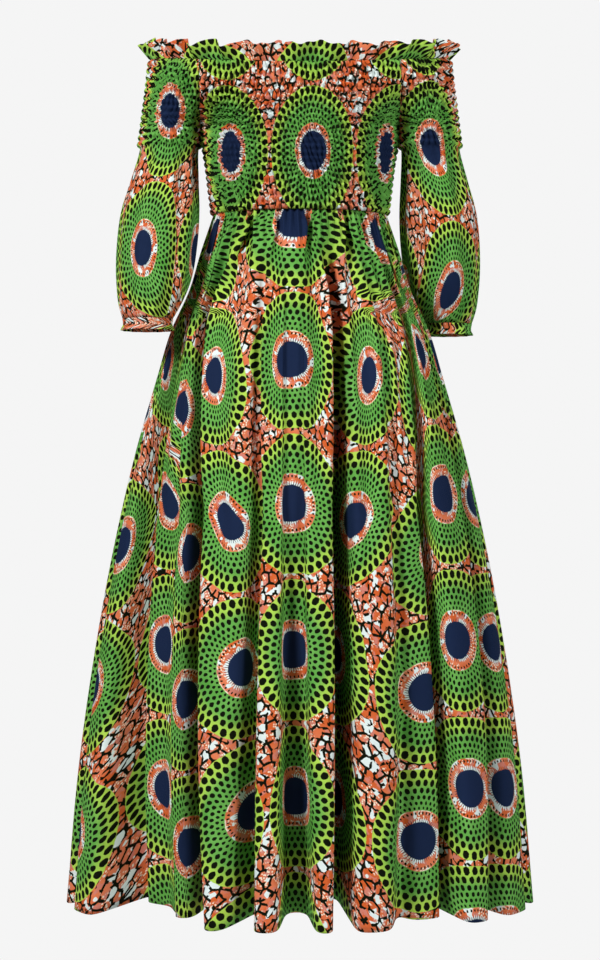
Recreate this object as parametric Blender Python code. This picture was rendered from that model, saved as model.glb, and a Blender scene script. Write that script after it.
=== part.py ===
"""Off-the-shoulder maxi sundress in worn shape, as thin cloth walls.

Metres, +Z up, the front faces -Y. The origin is the centre of the neckline's top elastic row.
Angles round the body start at the centre front and grow towards +X: 90 is the +X side seam.
"""

import math
from typing import NamedTuple

import bmesh
import bpy
import numpy as np

# Levels
SHIRR_PITCH = 0.0096
UNDERARM_SHIRR_ROWS = 10
SLEEVE_SHIRR_ROWS = 13
BODICE_SHIRR_ROWS = 23
UNDERARM_Z = -SHIRR_PITCH * UNDERARM_SHIRR_ROWS
WAIST_Z = -SHIRR_PITCH * BODICE_SHIRR_ROWS
CUFF_Z = -0.372
HEM_Z = -1.196

# Cloth and seams
SKIRT_WALL = 0.0016
SHIRRED_WALL = 0.0020
FRILL_WALL = 0.0014
SEAM_GAP = 0.0003
RIM_ANGLE = math.radians(60)

# Neckline and armholes
NECK_HALF_WIDTH = 0.2125
NECK_HALF_DEPTH = 0.1095
NECK_DIP = 0.018
BACK_DIP_SHARE = 0.5
SEAM_X = 0.1408
ARMHOLE_BEND = 0.7

# Shirring
BODICE_COLUMNS = 16
PUFF_RELIEF = 0.0017
PUFF_UNEVENNESS = 0.45
FLAT_EDGE_COLUMNS = 3
ARMHOLE_INNER_ROWS = (0, 3, 6, 8, 9, 10)
BODICE_INNER_ROWS = (*ARMHOLE_INNER_ROWS, 14, 18, 23)

# Sleeves
SLEEVE_COLUMNS = 20
SLEEVE_SWAY = {"left": -0.060, "right": 0.055}
SLEEVE_SWAY_BEND = 1.2
SLEEVE_GATHER = 0.0034
GATHER_OPENS_OVER = 0.020
GATHER_SOFTENS_OVER = 0.120
GATHER_LEFT_IN_PUFF = 0.65
GATHER_LEFT_AT_CUFF = 0.4
CUFF_GATHER_Z = -0.355
SLEEVE_INNER_ROWS = (*ARMHOLE_INNER_ROWS, 13)
PUFF_LEVELS = (-0.140, -0.165, -0.200, -0.240, -0.285, -0.325, -0.352, CUFF_Z)

# Cuffs
CUFF_WAVES = 12
CUFF_COLUMNS_PER_WAVE = 3
CUFF_WAVE = 0.0016

# Neck frill
FRILL_WAVES = 26
FRILL_COLUMNS_PER_WAVE = 4
FRILL_HEIGHT = 0.024
FRILL_FLARE = 0.011
FRILL_WAVE = 0.0065
FRILL_SCALLOP = 0.0025
FRILL_ROWS = (0.0, 0.45, 1.0)
FRILL_UNEVENNESS = 0.35
FRILL_UNEVEN_TURNS = (3, 5)

# Skirt
SKIRT_ROWS = (0.0, 0.04, 0.08, 0.12, 0.20, 0.31, 0.43, 0.60, 0.80, 1.0)
COLUMN_PITCH = 0.0235
FINE_COLUMNS = 5
CORNERS_PER_GROOVE = 4
ROUNDING_PASSES = 12
FLOOR_SHARE_AT_TOP = 0.75
WIDEST_SHARE = 0.82
WAIST_GATHER_DEPTH = 0.0065
WAIST_GATHER_STEEPNESS = 1.2
GATHER_END_Z = -0.335
HEM_LIFT = 0.22


class BodiceLevel(NamedTuple):
    """The bodice's half-width at the side seam and its depths in front and behind."""

    z: float
    half_width: float
    front: float
    back: float


class SkirtLevel(NamedTuple):
    """The skirt's half-width and half-depth over the tops of its folds."""

    z: float
    half_width: float
    half_depth: float


class SleeveLevel(NamedTuple):
    """A sleeve's inner and outer reach from the centre of the body, and its half-depth."""

    z: float
    inner: float
    outer: float
    half_depth: float


class CuffLevel(NamedTuple):
    """A cuff ring's growth on the sleeve's end, and how far its waves are open."""

    z: float
    growth: float
    waves: float


class Groove(NamedTuple):
    """A groove between two skirt folds, from the waist down, in degrees and metres.

    The runs are how far each wall reaches sideways for its depth; below 0 it overhangs the floor.
    Back is how far the fold after the groove stands back from the outline at the hem.
    """

    waist: float
    upper: float
    middle: float
    hem: float
    upper_depth: float
    middle_depth: float
    hem_depth: float
    floor: float
    left_run: float
    right_run: float
    back: float


BODICE_LEVELS = (
    BodiceLevel(z=0.0, half_width=0.1405, front=0.1095, back=0.1095),
    BodiceLevel(z=-0.045, half_width=0.1405, front=0.1150, back=0.1060),
    BodiceLevel(z=-0.096, half_width=0.1400, front=0.1180, back=0.1010),
    BodiceLevel(z=-0.150, half_width=0.1315, front=0.1090, back=0.0950),
    BodiceLevel(z=-0.221, half_width=0.1230, front=0.0950, back=0.0920),
)

SKIRT_LEVELS = (
    SkirtLevel(z=-0.221, half_width=0.1240, half_depth=0.0945),
    SkirtLevel(z=-0.270, half_width=0.1410, half_depth=0.1070),
    SkirtLevel(z=-0.330, half_width=0.1590, half_depth=0.1230),
    SkirtLevel(z=-0.385, half_width=0.1840, half_depth=0.1400),
    SkirtLevel(z=-0.450, half_width=0.2035, half_depth=0.1600),
    SkirtLevel(z=-0.560, half_width=0.2350, half_depth=0.1890),
    SkirtLevel(z=-0.700, half_width=0.2670, half_depth=0.2180),
    SkirtLevel(z=-0.850, half_width=0.2940, half_depth=0.2420),
    SkirtLevel(z=-1.000, half_width=0.3150, half_depth=0.2600),
    SkirtLevel(z=-1.196, half_width=0.3325, half_depth=0.2760),
)

SLEEVE_LEVELS = (
    SleeveLevel(z=0.0, inner=SEAM_X, outer=NECK_HALF_WIDTH, half_depth=NECK_HALF_DEPTH),
    SleeveLevel(z=-0.040, inner=SEAM_X, outer=0.2165, half_depth=0.0790),
    SleeveLevel(z=-0.096, inner=SEAM_X, outer=0.2240, half_depth=0.0600),
    SleeveLevel(z=-0.125, inner=0.1445, outer=0.2280, half_depth=0.0560),
    SleeveLevel(z=-0.170, inner=0.1440, outer=0.2405, half_depth=0.0600),
    SleeveLevel(z=-0.215, inner=0.1425, outer=0.2535, half_depth=0.0650),
    SleeveLevel(z=-0.265, inner=0.1450, outer=0.2592, half_depth=0.0670),
    SleeveLevel(z=-0.325, inner=0.1560, outer=0.2585, half_depth=0.0610),
    SleeveLevel(z=-0.355, inner=0.1690, outer=0.2545, half_depth=0.0500),
    SleeveLevel(z=-0.372, inner=0.1785, outer=0.2490, half_depth=0.0400),
)

CUFF_LEVELS = (
    CuffLevel(z=-0.3723, growth=0.0, waves=0.0),
    CuffLevel(z=-0.3790, growth=-0.0012, waves=0.2),
    CuffLevel(z=-0.3880, growth=0.0016, waves=1.0),
)

# Heights at which the grooves' angles and depths are given
GROOVE_LEVELS = (WAIST_Z, -0.34, -0.64, HEM_Z)

# The first and last row of each table are the side seams, which lie on the top of a fold
FRONT_GROOVES = (
    Groove(-90.0, -90.0, -90.0, -90.0, 0.0, 0.0, 0.0, 0.0, 0.0, 0.0, 0.000),
    Groove(-82.5, -81.5, -79.5, -77.0, 0.009, 0.020, 0.040, 0.011, 0.25, 0.25, 0.000),
    Groove(-69.5, -71.5, -63.5, -56.0, 0.016, 0.045, 0.088, 0.018, 0.10, 0.05, 0.070),
    Groove(-59.0, -61.0, -45.0, -35.5, 0.010, 0.026, 0.050, 0.009, 0.45, -0.05, 0.035),
    Groove(-49.0, -53.5, -35.5, -26.4, 0.028, 0.072, 0.110, 0.022, 0.04, 0.06, 0.000),
    Groove(-24.5, -19.0, -12.5, -11.6, 0.012, 0.030, 0.068, 0.011, 0.55, -0.05, 0.000),
    Groove(-5.0, -3.0, -2.0, -1.0, 0.008, 0.016, 0.074, 0.034, 0.10, 0.15, 0.000),
    Groove(17.0, 18.5, 13.2, 10.5, 0.038, 0.096, 0.120, 0.023, 0.03, 0.04, 0.000),
    Groove(37.0, 41.0, 32.0, 27.0, 0.010, 0.018, 0.045, 0.011, 0.60, 0.20, 0.030),
    Groove(51.0, 58.0, 43.5, 40.4, 0.018, 0.046, 0.098, 0.022, -0.08, 0.06, 0.000),
    Groove(66.0, 74.0, 68.0, 55.0, 0.012, 0.032, 0.082, 0.018, 0.10, 0.12, 0.000),
    Groove(81.5, 83.5, 82.0, 77.0, 0.009, 0.018, 0.040, 0.011, 0.25, 0.25, 0.000),
    Groove(90.0, 90.0, 90.0, 90.0, 0.0, 0.0, 0.0, 0.0, 0.0, 0.0, 0.000),
)

BACK_GROOVES = (
    Groove(90.0, 90.0, 90.0, 90.0, 0.0, 0.0, 0.0, 0.0, 0.0, 0.0, 0.000),
    Groove(98.0, 97.5, 99.0, 102.0, 0.009, 0.022, 0.046, 0.011, 0.25, 0.25, 0.000),
    Groove(111.0, 109.5, 111.0, 116.0, 0.014, 0.042, 0.080, 0.016, 0.15, 0.05, 0.020),
    Groove(124.0, 122.0, 125.5, 131.0, 0.012, 0.030, 0.060, 0.020, 0.40, 0.10, 0.000),
    Groove(140.0, 136.0, 139.0, 145.5, 0.020, 0.062, 0.095, 0.018, 0.05, 0.10, 0.000),
    Groove(157.0, 152.5, 155.0, 160.0, 0.012, 0.032, 0.070, 0.030, 0.10, 0.10, 0.000),
    Groove(173.5, 169.0, 171.5, 175.0, 0.018, 0.056, 0.090, 0.018, 0.05, 0.30, 0.015),
    Groove(188.5, 187.5, 189.0, 190.0, 0.010, 0.028, 0.068, 0.028, 0.12, 0.05, 0.000),
    Groove(207.0, 206.5, 207.0, 206.0, 0.024, 0.074, 0.100, 0.020, 0.05, 0.06, 0.000),
    Groove(224.5, 225.5, 223.5, 220.5, 0.010, 0.024, 0.055, 0.012, 0.50, 0.15, 0.020),
    Groove(242.5, 243.0, 240.0, 236.0, 0.016, 0.046, 0.085, 0.018, -0.05, 0.10, 0.000),
    Groove(259.0, 258.5, 257.0, 254.0, 0.009, 0.022, 0.050, 0.011, 0.20, 0.25, 0.000),
    Groove(270.0, 270.0, 270.0, 270.0, 0.0, 0.0, 0.0, 0.0, 0.0, 0.0, 0.000),
)

COTTON_ROUGHNESS = 0.72

COLOURS = {
    "bodice_front": (0.24, 0.42, 0.13, 1.0),
    "bodice_back": (0.22, 0.40, 0.12, 1.0),
    "sleeve_left": (0.23, 0.40, 0.13, 1.0),
    "sleeve_right": (0.23, 0.40, 0.13, 1.0),
    "cuff_left": (0.48, 0.36, 0.18, 1.0),
    "cuff_right": (0.48, 0.36, 0.18, 1.0),
    "skirt_front": (0.26, 0.43, 0.14, 1.0),
    "skirt_back": (0.25, 0.42, 0.13, 1.0),
    "neck_frill": (0.30, 0.42, 0.15, 1.0),
}


def read_table(z, rows, column):
    """One column of a table at the heights z, on a smooth curve through the rows."""
    heights = np.array([row.z for row in rows])[::-1]
    values = np.array([getattr(row, column) for row in rows])[::-1]
    slopes = np.gradient(values, heights)
    z = np.clip(z, heights[0], heights[-1])
    low = np.clip(np.searchsorted(heights, z) - 1, 0, len(heights) - 2)
    span = heights[low + 1] - heights[low]
    part = (z - heights[low]) / span
    rise = part * part * (3 - 2 * part)
    leave = part * (1 - part) ** 2 * span * slopes[low]
    arrive = part * part * (part - 1) * span * slopes[low + 1]
    return values[low] * (1 - rise) + values[low + 1] * rise + leave + arrive


def ease(value):
    """A smooth step from 0 to 1."""
    value = np.clip(value, 0.0, 1.0)
    return value * value * (3 - 2 * value)


def spread(columns):
    """Places across a piece, -1 to 1, with one column more beyond each end."""
    return (np.arange(-1, columns + 2) * 2 / columns - 1)[None, :]


def outward(points):
    """The rows of points without their two end columns, and level unit vectors square to them.

    Each row runs anticlockwise seen from above.
    """
    along = points[:, 2:] - points[:, :-2]
    normal = np.stack([along[..., 1], -along[..., 0], np.zeros(along.shape[:2])], axis=-1)
    return points[:, 1:-1], normal / np.linalg.norm(normal, axis=-1, keepdims=True)


def lower_front_neck(points):
    """Lowers the neckline towards the centre front, and half as far behind."""
    depth = points[..., 1] / NECK_HALF_DEPTH
    dip = np.where(depth < 0, NECK_DIP, BACK_DIP_SHARE * NECK_DIP)
    fade = ease(1 - points[..., 2] / WAIST_Z)
    dipped = points.copy()
    dipped[..., 2] -= dip * np.minimum(depth * depth, 1.0) * fade
    return dipped


def armhole(z):
    """Half the angle that a sleeve's section spans at z, and the seam's distance from the side."""
    part = np.clip(z / UNDERARM_Z, 0.0, 1.0)
    neck_angle = math.acos(SEAM_X / NECK_HALF_WIDTH)
    span = neck_angle + (math.pi - neck_angle) * (1 - (1 - part) ** ARMHOLE_BEND)
    return span, read_table(z, SLEEVE_LEVELS, "half_depth") * np.sin(span)


def stitch(mesh, first, second):
    """Closes the strip between two lines of vertices, which may have different numbers."""

    def distances(line):
        steps = [(b.co - a.co).length for a, b in zip(line, line[1:])]
        total = sum(steps)
        return [sum(steps[: index + 1]) / total for index in range(len(steps))] + [2.0]

    first_at, second_at = distances(first), distances(second)
    i = j = 0
    while i < len(first) - 1 or j < len(second) - 1:
        if first_at[i] <= second_at[j]:
            mesh.faces.new((first[i], first[i + 1], second[j]))
            i += 1
        else:
            mesh.faces.new((first[i], second[j + 1], second[j]))
            j += 1


def add_rows(mesh, points, first_ring):
    """Adds a grid of vertices and its faces. From row first_ring on, each row closes on itself."""
    rows = []
    for index, row in enumerate(points):
        closed = index >= first_ring
        vertices = [mesh.verts.new(point) for point in (row[:-1] if closed else row)]
        rows.append(vertices + vertices[:1] if closed else vertices)
    for upper, lower in zip(rows, rows[1:]):
        for left in range(len(upper) - 1):
            corners = (upper[left], lower[left], lower[left + 1], upper[left + 1])
            mesh.faces.new(corners)
    return rows


def make_wall(name, outer, inner, outer_ring=None, inner_ring=None):
    """One closed cloth wall between an outer and an inner grid, as a named object.

    The ring arguments are the first rows that close on themselves; None is a panel with two sides.
    """
    mesh = bmesh.new()
    first_outer = len(outer) if outer_ring is None else outer_ring
    first_inner = len(inner) if inner_ring is None else inner_ring
    outer_rows = add_rows(mesh, outer, first_outer)
    inner_rows = add_rows(mesh, inner, first_inner)
    stitch(mesh, outer_rows[0], inner_rows[0])
    stitch(mesh, outer_rows[-1], inner_rows[-1])
    if first_outer > 0:
        for side in (0, -1):
            outer_edge = [row[side] for row in outer_rows[: first_outer + 1]]
            inner_edge = [row[side] for row in inner_rows[: first_inner + 1]]
            stitch(mesh, outer_edge, inner_edge)
    bmesh.ops.recalc_face_normals(mesh, faces=mesh.faces)
    data = bpy.data.meshes.new(name)
    mesh.to_mesh(data)
    mesh.free()
    data.shade_smooth()
    data.set_sharp_from_angle(angle=RIM_ANGLE)
    piece = bpy.data.objects.new(name, data)
    piece.data.materials.append(cloth_material(name))
    bpy.context.scene.collection.objects.link(piece)
    return piece


def cloth_material(name):
    """A plain printed-cotton finish in the piece's average colour."""
    material = bpy.data.materials.new(f"{name}_cotton")
    material.use_nodes = True
    shader = material.node_tree.nodes["Principled BSDF"]
    shader.inputs["Base Color"].default_value = COLOURS[name]
    shader.inputs["Roughness"].default_value = COTTON_ROUGHNESS
    shader.inputs["Metallic"].default_value = 0.0
    return material


def shirr_heights(rows):
    """The heights of shirring rows, counted down from the neckline, clear of the end seams."""
    heights = -SHIRR_PITCH * np.array(rows, dtype=float)
    return np.clip(heights, WAIST_Z + SEAM_GAP / 2, -SEAM_GAP / 2)


def shirring(rows, columns, puffed_rows):
    """The outward relief of shirred rows: cloth puffs between the threads and rests on them."""
    row = np.arange(rows)[:, None]
    column = np.arange(columns)[None, :]
    puff = (row % 2) * (row < 2 * puffed_rows)
    uneven = 1 - PUFF_UNEVENNESS * ((row // 2 + column) % 2)
    edge = ease(np.minimum(column, columns - 1 - column) / FLAT_EDGE_COLUMNS)
    return PUFF_RELIEF * puff * uneven * edge


def bodice_surface(z, side):
    """Rows of points across the front (side -1) or back (side 1) panel at the heights z."""
    z = z[:, None]
    depth = read_table(z, BODICE_LEVELS, "front" if side < 0 else "back")
    seam_y = np.where(z > UNDERARM_Z, armhole(z)[1], 0.0)
    half_width = np.minimum(read_table(z, BODICE_LEVELS, "half_width"), SEAM_X) - SEAM_GAP / 2
    reach = np.arccos(np.clip(seam_y / depth, 0.0, 1.0))
    swell = half_width / np.sin(reach)
    angle = reach * spread(BODICE_COLUMNS)
    x = -side * swell * np.sin(angle)
    y = side * (depth * np.cos(angle) + SEAM_GAP / 2)
    return np.stack([x, y, np.broadcast_to(z, x.shape)], axis=-1)


def make_bodice(name, side):
    """One shirred bodice panel, raised between its elastic threads over a plain inside."""
    heights = shirr_heights(np.arange(0, BODICE_SHIRR_ROWS + 0.5, 0.5))
    surface, normal = outward(bodice_surface(heights, side))
    relief = shirring(len(heights), BODICE_COLUMNS + 1, BODICE_SHIRR_ROWS)
    outer = surface + normal * relief[..., None]
    plain, normal = outward(bodice_surface(shirr_heights(BODICE_INNER_ROWS), side))
    inner = plain - normal * SHIRRED_WALL
    make_wall(name, lower_front_neck(outer), lower_front_neck(inner))


def sleeve_surface(z, hand):
    """Rows of points round a sleeve. Above the underarm they run from seam to seam."""
    z = z[:, None]
    span, _ = armhole(z)
    inner = np.maximum(read_table(z, SLEEVE_LEVELS, "inner"), SEAM_X) + SEAM_GAP / 2
    outer = read_table(z, SLEEVE_LEVELS, "outer")
    half_width = (outer - inner) / (1 - np.cos(span))
    sign = 1.0 if hand == "right" else -1.0
    angle = span * spread(SLEEVE_COLUMNS)
    drop = np.clip((z - UNDERARM_Z) / (CUFF_Z - UNDERARM_Z), 0.0, 1.0)
    x = sign * (outer - half_width + half_width * np.cos(angle))
    y = sign * read_table(z, SLEEVE_LEVELS, "half_depth") * np.sin(angle)
    y = y + SLEEVE_SWAY[hand] * drop**SLEEVE_SWAY_BEND
    return np.stack([x, y, np.broadcast_to(z, x.shape)], axis=-1)


def sleeve_gathers(z):
    """The gathers below the shirring, which close up again at the cuff."""
    start = -SHIRR_PITCH * SLEEVE_SHIRR_ROWS
    fullness = ease((start - z) / GATHER_OPENS_OVER)
    fullness *= 1 - (1 - GATHER_LEFT_IN_PUFF) * ease((start - z) / GATHER_SOFTENS_OVER)
    closing = ease((CUFF_GATHER_Z - z) / (CUFF_GATHER_Z - CUFF_Z))
    fullness *= 1 - (1 - GATHER_LEFT_AT_CUFF) * closing
    column = np.arange(SLEEVE_COLUMNS + 1)[None, :]
    return -SLEEVE_GATHER * fullness[:, None] * (column % 2)


def make_sleeve(name, hand):
    """One off-the-shoulder sleeve: a shirred top, a soft puff and a gathered end."""
    shirred = shirr_heights(np.arange(0, SLEEVE_SHIRR_ROWS + 0.5, 0.5))
    heights = np.append(shirred, PUFF_LEVELS)
    surface, normal = outward(sleeve_surface(heights, hand))
    relief = shirring(len(heights), SLEEVE_COLUMNS + 1, SLEEVE_SHIRR_ROWS)
    relief = relief + sleeve_gathers(heights)
    outer = surface + normal * relief[..., None]
    plain_heights = np.append(shirr_heights(SLEEVE_INNER_ROWS), PUFF_LEVELS)
    plain, normal = outward(sleeve_surface(plain_heights, hand))
    gathered = sleeve_gathers(plain_heights) - SHIRRED_WALL
    inner = plain + normal * gathered[..., None]
    ring_row = 2 * UNDERARM_SHIRR_ROWS
    inner_ring_row = SLEEVE_INNER_ROWS.index(UNDERARM_SHIRR_ROWS)
    make_wall(name, lower_front_neck(outer), lower_front_neck(inner), ring_row, inner_ring_row)


def make_cuff(name, hand):
    """The narrow elastic ring at a sleeve's end, with its small waved edge."""
    heights = np.array([level.z for level in CUFF_LEVELS])
    columns = CUFF_WAVES * CUFF_COLUMNS_PER_WAVE
    angle = math.pi * spread(columns)
    end = SLEEVE_LEVELS[-1]
    sign = 1.0 if hand == "right" else -1.0
    growth = np.array([level.growth for level in CUFF_LEVELS])[:, None]
    waves = np.array([level.waves for level in CUFF_LEVELS])[:, None]
    swing = growth + CUFF_WAVE * waves * np.sin(CUFF_WAVES * angle)
    middle = sign * (end.inner + end.outer) / 2
    x = middle + sign * ((end.outer - end.inner) / 2 + swing) * np.cos(angle)
    y = SLEEVE_SWAY[hand] + sign * (end.half_depth + swing) * np.sin(angle)
    points = np.stack([x, y, np.broadcast_to(heights[:, None], x.shape)], axis=-1)
    outer, normal = outward(points)
    make_wall(name, outer, outer - normal * FRILL_WALL, 0, 0)


def make_frill(name):
    """The waved heading that stands above the neckline's top elastic row."""
    columns = FRILL_WAVES * FRILL_COLUMNS_PER_WAVE
    angle = math.pi * spread(columns)
    part = np.array(FRILL_ROWS)[:, None]
    phase = FRILL_WAVES * angle
    slow, quick = FRILL_UNEVEN_TURNS
    uneven = 1 + FRILL_UNEVENNESS * np.sin(slow * angle) * np.cos(quick * angle)
    reach = FRILL_FLARE * part + FRILL_WAVE * uneven * part * np.cos(phase)
    x = (NECK_HALF_WIDTH + reach) * np.sin(angle)
    y = -(NECK_HALF_DEPTH + reach) * np.cos(angle)
    scallop = FRILL_SCALLOP * np.cos(phase)
    z = SEAM_GAP / 2 + (FRILL_HEIGHT - SEAM_GAP / 2 - scallop) * part
    outer, normal = outward(np.stack([x, y, z], axis=-1))
    inner = outer - normal * FRILL_WALL
    make_wall(name, lower_front_neck(outer), lower_front_neck(inner), 0, 0)


def groove_values(grooves, names, z):
    """The named values of each groove at the heights z, as an array of rows by grooves."""
    levels = [-height for height in GROOVE_LEVELS[-len(names) :]]
    columns = [[getattr(groove, name) for name in names] for groove in grooves]
    return np.stack([np.interp(-z, levels, values) for values in columns], axis=-1)


def folds_formed(z):
    """How far the skirt's folds have formed out of the waist's gathers, 0 to 1, as one column."""
    return ease((WAIST_Z - z) / (WAIST_Z - GROOVE_LEVELS[1]))[:, None]


def fold_corners(grooves, z):
    """The corners of the skirt's level section: for each groove its wall tops and floor edges.

    The angles in degrees and the depths come back as arrays of rows by corners.
    """
    centre = groove_values(grooves, ("waist", "upper", "middle", "hem"), z)
    depth = groove_values(grooves, ("upper_depth", "middle_depth", "hem_depth"), z) * folds_formed(z)
    low = np.clip((GROOVE_LEVELS[1] - z) / (GROOVE_LEVELS[1] - HEM_Z), 0.0, 1.0)[:, None]
    half_width = read_table(z, SKIRT_LEVELS, "half_width")[:, None]
    half_depth = read_table(z, SKIRT_LEVELS, "half_depth")[:, None]
    turn = np.radians(centre)
    per_degree = np.hypot(half_width * np.cos(turn), half_depth * np.sin(turn)) * math.pi / 180
    shapes = [(groove.floor, groove.left_run, groove.right_run, groove.back) for groove in grooves]
    floor_size, left_run, right_run, back = np.array(shapes).T
    floor = floor_size / 2 * (FLOOR_SHARE_AT_TOP + (1 - FLOOR_SHARE_AT_TOP) * low) / per_degree
    left = floor + left_run * depth / per_degree
    right = floor + right_run * depth / per_degree
    back = back * low
    taken = np.maximum(right[:, :-1] + left[:, 1:], 1e-6)
    crowding = np.minimum(1.0, WIDEST_SHARE * np.diff(centre, axis=1) / taken)
    angles, depths = [centre[:, 0]], [np.zeros(len(z))]
    for index in range(1, len(grooves) - 1):
        before, after = crowding[:, index - 1], crowding[:, index]
        place = centre[:, index]
        sunk = np.maximum(depth[:, index], back[:, index])
        angles += [place - left[:, index] * before, place - floor[:, index] * before]
        angles += [place + floor[:, index] * after, place + right[:, index] * after]
        depths += [back[:, index - 1], sunk, sunk, back[:, index]]
    angles.append(centre[:, -1])
    depths.append(np.zeros(len(z)))
    return np.stack(angles, axis=-1), np.stack(depths, axis=-1)


def share_columns(grooves):
    """The mesh column of each corner, by the corners' distances along the hem."""
    angles, depths = fold_corners(grooves, np.array([HEM_Z]))
    radius = (SKIRT_LEVELS[-1].half_width + SKIRT_LEVELS[-1].half_depth) / 2
    lengths = np.hypot(np.radians(np.diff(angles[0])) * radius, np.diff(depths[0]))
    return np.append(0.0, np.cumsum(np.maximum(1, np.round(lengths / COLUMN_PITCH))))


def skirt_surface(grooves, rows):
    """Rows of points over half the skirt, from one side seam round to the other.

    The section is drawn and rounded on fine columns, and every mesh column is read from it.
    """
    top = WAIST_Z - SEAM_GAP / 2
    rows = np.array(rows)
    heights = top + rows * (HEM_Z - top)
    corner_columns = share_columns(grooves)
    fine = np.arange(int(corner_columns[-1]) * FINE_COLUMNS + 1) / FINE_COLUMNS
    groove_columns = corner_columns[1:-1].reshape(-1, CORNERS_PER_GROOVE).mean(axis=1)
    groove_columns = np.concatenate([[0.0], groove_columns, corner_columns[-1:]])
    angles, depths = fold_corners(grooves, heights)
    centre = groove_values(grooves, ("waist", "upper", "middle", "hem"), heights)
    folded = np.stack([np.interp(fine, corner_columns, row) for row in angles])
    even = np.stack([np.interp(fine, groove_columns, row) for row in centre])
    depth = np.stack([np.interp(fine, corner_columns, row) for row in depths])
    formed = folds_formed(heights)
    angle = np.radians(even + (folded - even) * formed)
    z = heights[:, None] + rows[:, None] * HEM_LIFT * depth[-1]
    half_width = read_table(z, SKIRT_LEVELS, "half_width")
    half_depth = read_table(z, SKIRT_LEVELS, "half_depth")
    step = np.abs(np.gradient(angle, axis=1)) * FINE_COLUMNS * (half_width + half_depth) / 2
    gather = np.minimum(WAIST_GATHER_DEPTH, WAIST_GATHER_STEEPNESS * step)
    gather = gather * (1 - ease((WAIST_Z - z) / (WAIST_Z - GATHER_END_Z)))
    inward = depth + gather * (0.5 - 0.5 * np.cos(np.pi * fine))
    normal = np.stack([np.sin(angle) * half_depth, -np.cos(angle) * half_width], axis=-1)
    normal /= np.linalg.norm(normal, axis=-1, keepdims=True)
    x = half_width * np.sin(angle) - inward * normal[..., 0]
    y = -half_depth * np.cos(angle) - inward * normal[..., 1]
    points = np.stack([x, y, z], axis=-1)
    for _ in range(ROUNDING_PASSES):
        rounder = (points[:, :-2] + 2 * points[:, 1:-1] + points[:, 2:]) / 4
        points[:, 1:-1] += (rounder - points[:, 1:-1]) * formed[..., None]
    return points[:, ::FINE_COLUMNS]


def make_skirt(name, grooves, side):
    """Half the skirt: gathers at the waist, which run together into deep folds at the hem."""
    surface = skirt_surface(grooves, SKIRT_ROWS)
    padded = np.concatenate([surface[:, :1], surface, surface[:, -1:]], axis=1)
    outer, normal = outward(padded)
    for edge in (0, -1):
        normal[:, edge] = (np.sign(outer[0, edge, 0]), 0.0, 0.0)
        outer[:, edge, 1] = 0.0
    outer[..., 1] += side * SEAM_GAP / 2
    make_wall(name, outer, outer - normal * SKIRT_WALL)


def clear_scene():
    """Removes what the file opens with."""
    for item in list(bpy.data.objects):
        bpy.data.objects.remove(item, do_unlink=True)


def main():
    """Makes the dress, from the neckline down."""
    clear_scene()
    make_frill("neck_frill")
    make_bodice("bodice_front", -1)
    make_bodice("bodice_back", 1)
    for hand in ("left", "right"):
        make_sleeve(f"sleeve_{hand}", hand)
        make_cuff(f"cuff_{hand}", hand)
    make_skirt("skirt_front", FRONT_GROOVES, -1)
    make_skirt("skirt_back", BACK_GROOVES, 1)


main()
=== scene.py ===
"""Looks of the off-the-shoulder sundress: thin printed-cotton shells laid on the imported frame.

Metres, +Z up, the front faces -Y. The origin is the centre of the neckline's top elastic row.
Angles round the body start at the centre front and grow towards +X.
"""

import logging
import math
from dataclasses import dataclass, field
from enum import Enum
from typing import Any, Callable, ClassVar, NamedTuple, Union

import bpy
import numpy as np
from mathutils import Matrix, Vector


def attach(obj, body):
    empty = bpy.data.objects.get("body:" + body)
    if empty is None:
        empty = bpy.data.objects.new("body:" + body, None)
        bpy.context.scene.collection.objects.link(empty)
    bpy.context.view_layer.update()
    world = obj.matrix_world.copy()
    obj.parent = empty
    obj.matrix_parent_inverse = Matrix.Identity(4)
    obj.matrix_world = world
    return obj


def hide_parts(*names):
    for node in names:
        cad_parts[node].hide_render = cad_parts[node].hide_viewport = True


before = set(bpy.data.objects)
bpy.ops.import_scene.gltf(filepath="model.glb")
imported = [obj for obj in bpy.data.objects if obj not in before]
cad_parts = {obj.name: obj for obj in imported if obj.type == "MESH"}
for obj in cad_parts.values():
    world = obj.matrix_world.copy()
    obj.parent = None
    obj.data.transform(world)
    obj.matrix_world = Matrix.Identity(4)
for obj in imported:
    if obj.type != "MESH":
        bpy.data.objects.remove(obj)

LOG = logging.getLogger("sundress")

Array = np.ndarray
Number = Union[float, "Sock"]
Colour = tuple[float, float, float, float]

# The dress's driving sizes
SHIRR_PITCH = 0.0096
UNDERARM_ROWS = 10
SLEEVE_ROWS = 13
BODICE_ROWS = 23
UNDERARM_Z = -SHIRR_PITCH * UNDERARM_ROWS
WAIST_Z = -SHIRR_PITCH * BODICE_ROWS
CUFF_Z = -0.372
HEM_Z = -1.196
NECK_HALF_WIDTH = 0.2125
NECK_HALF_DEPTH = 0.1095
NECK_DIP = 0.018
BACK_DIP_SHARE = 0.5
SEAM_X = 0.1408
ARMHOLE_BEND = 0.7
SEAM_GAP = 0.0003
CLOTH_WALL = 0.0008

# The print's repeat and the cut of the skirt panels, which are arcs of a ring
PRINT_REPEAT = 0.200
PANEL_RADIUS = 0.508
PANEL_ANGLE = 1.239


class Slot(Enum):
    """The record's material slots."""

    SHIRRED = "shirred_cotton"
    SLEEVE = "sleeve_cotton"
    EDGE = "edge_cotton"
    SKIRT = "skirt_cotton"


class Side(Enum):
    """Which half of the body a panel covers, as the sign of its depth."""

    FRONT = -1
    BACK = 1


class Hand(Enum):
    """Which arm a sleeve belongs to, as the sign of its X."""

    LEFT = -1
    RIGHT = 1


class BodiceLevel(NamedTuple):
    """The bodice's half-width at the side seam and its depths in front and behind."""

    z: float
    half_width: float
    front: float
    back: float


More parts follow.
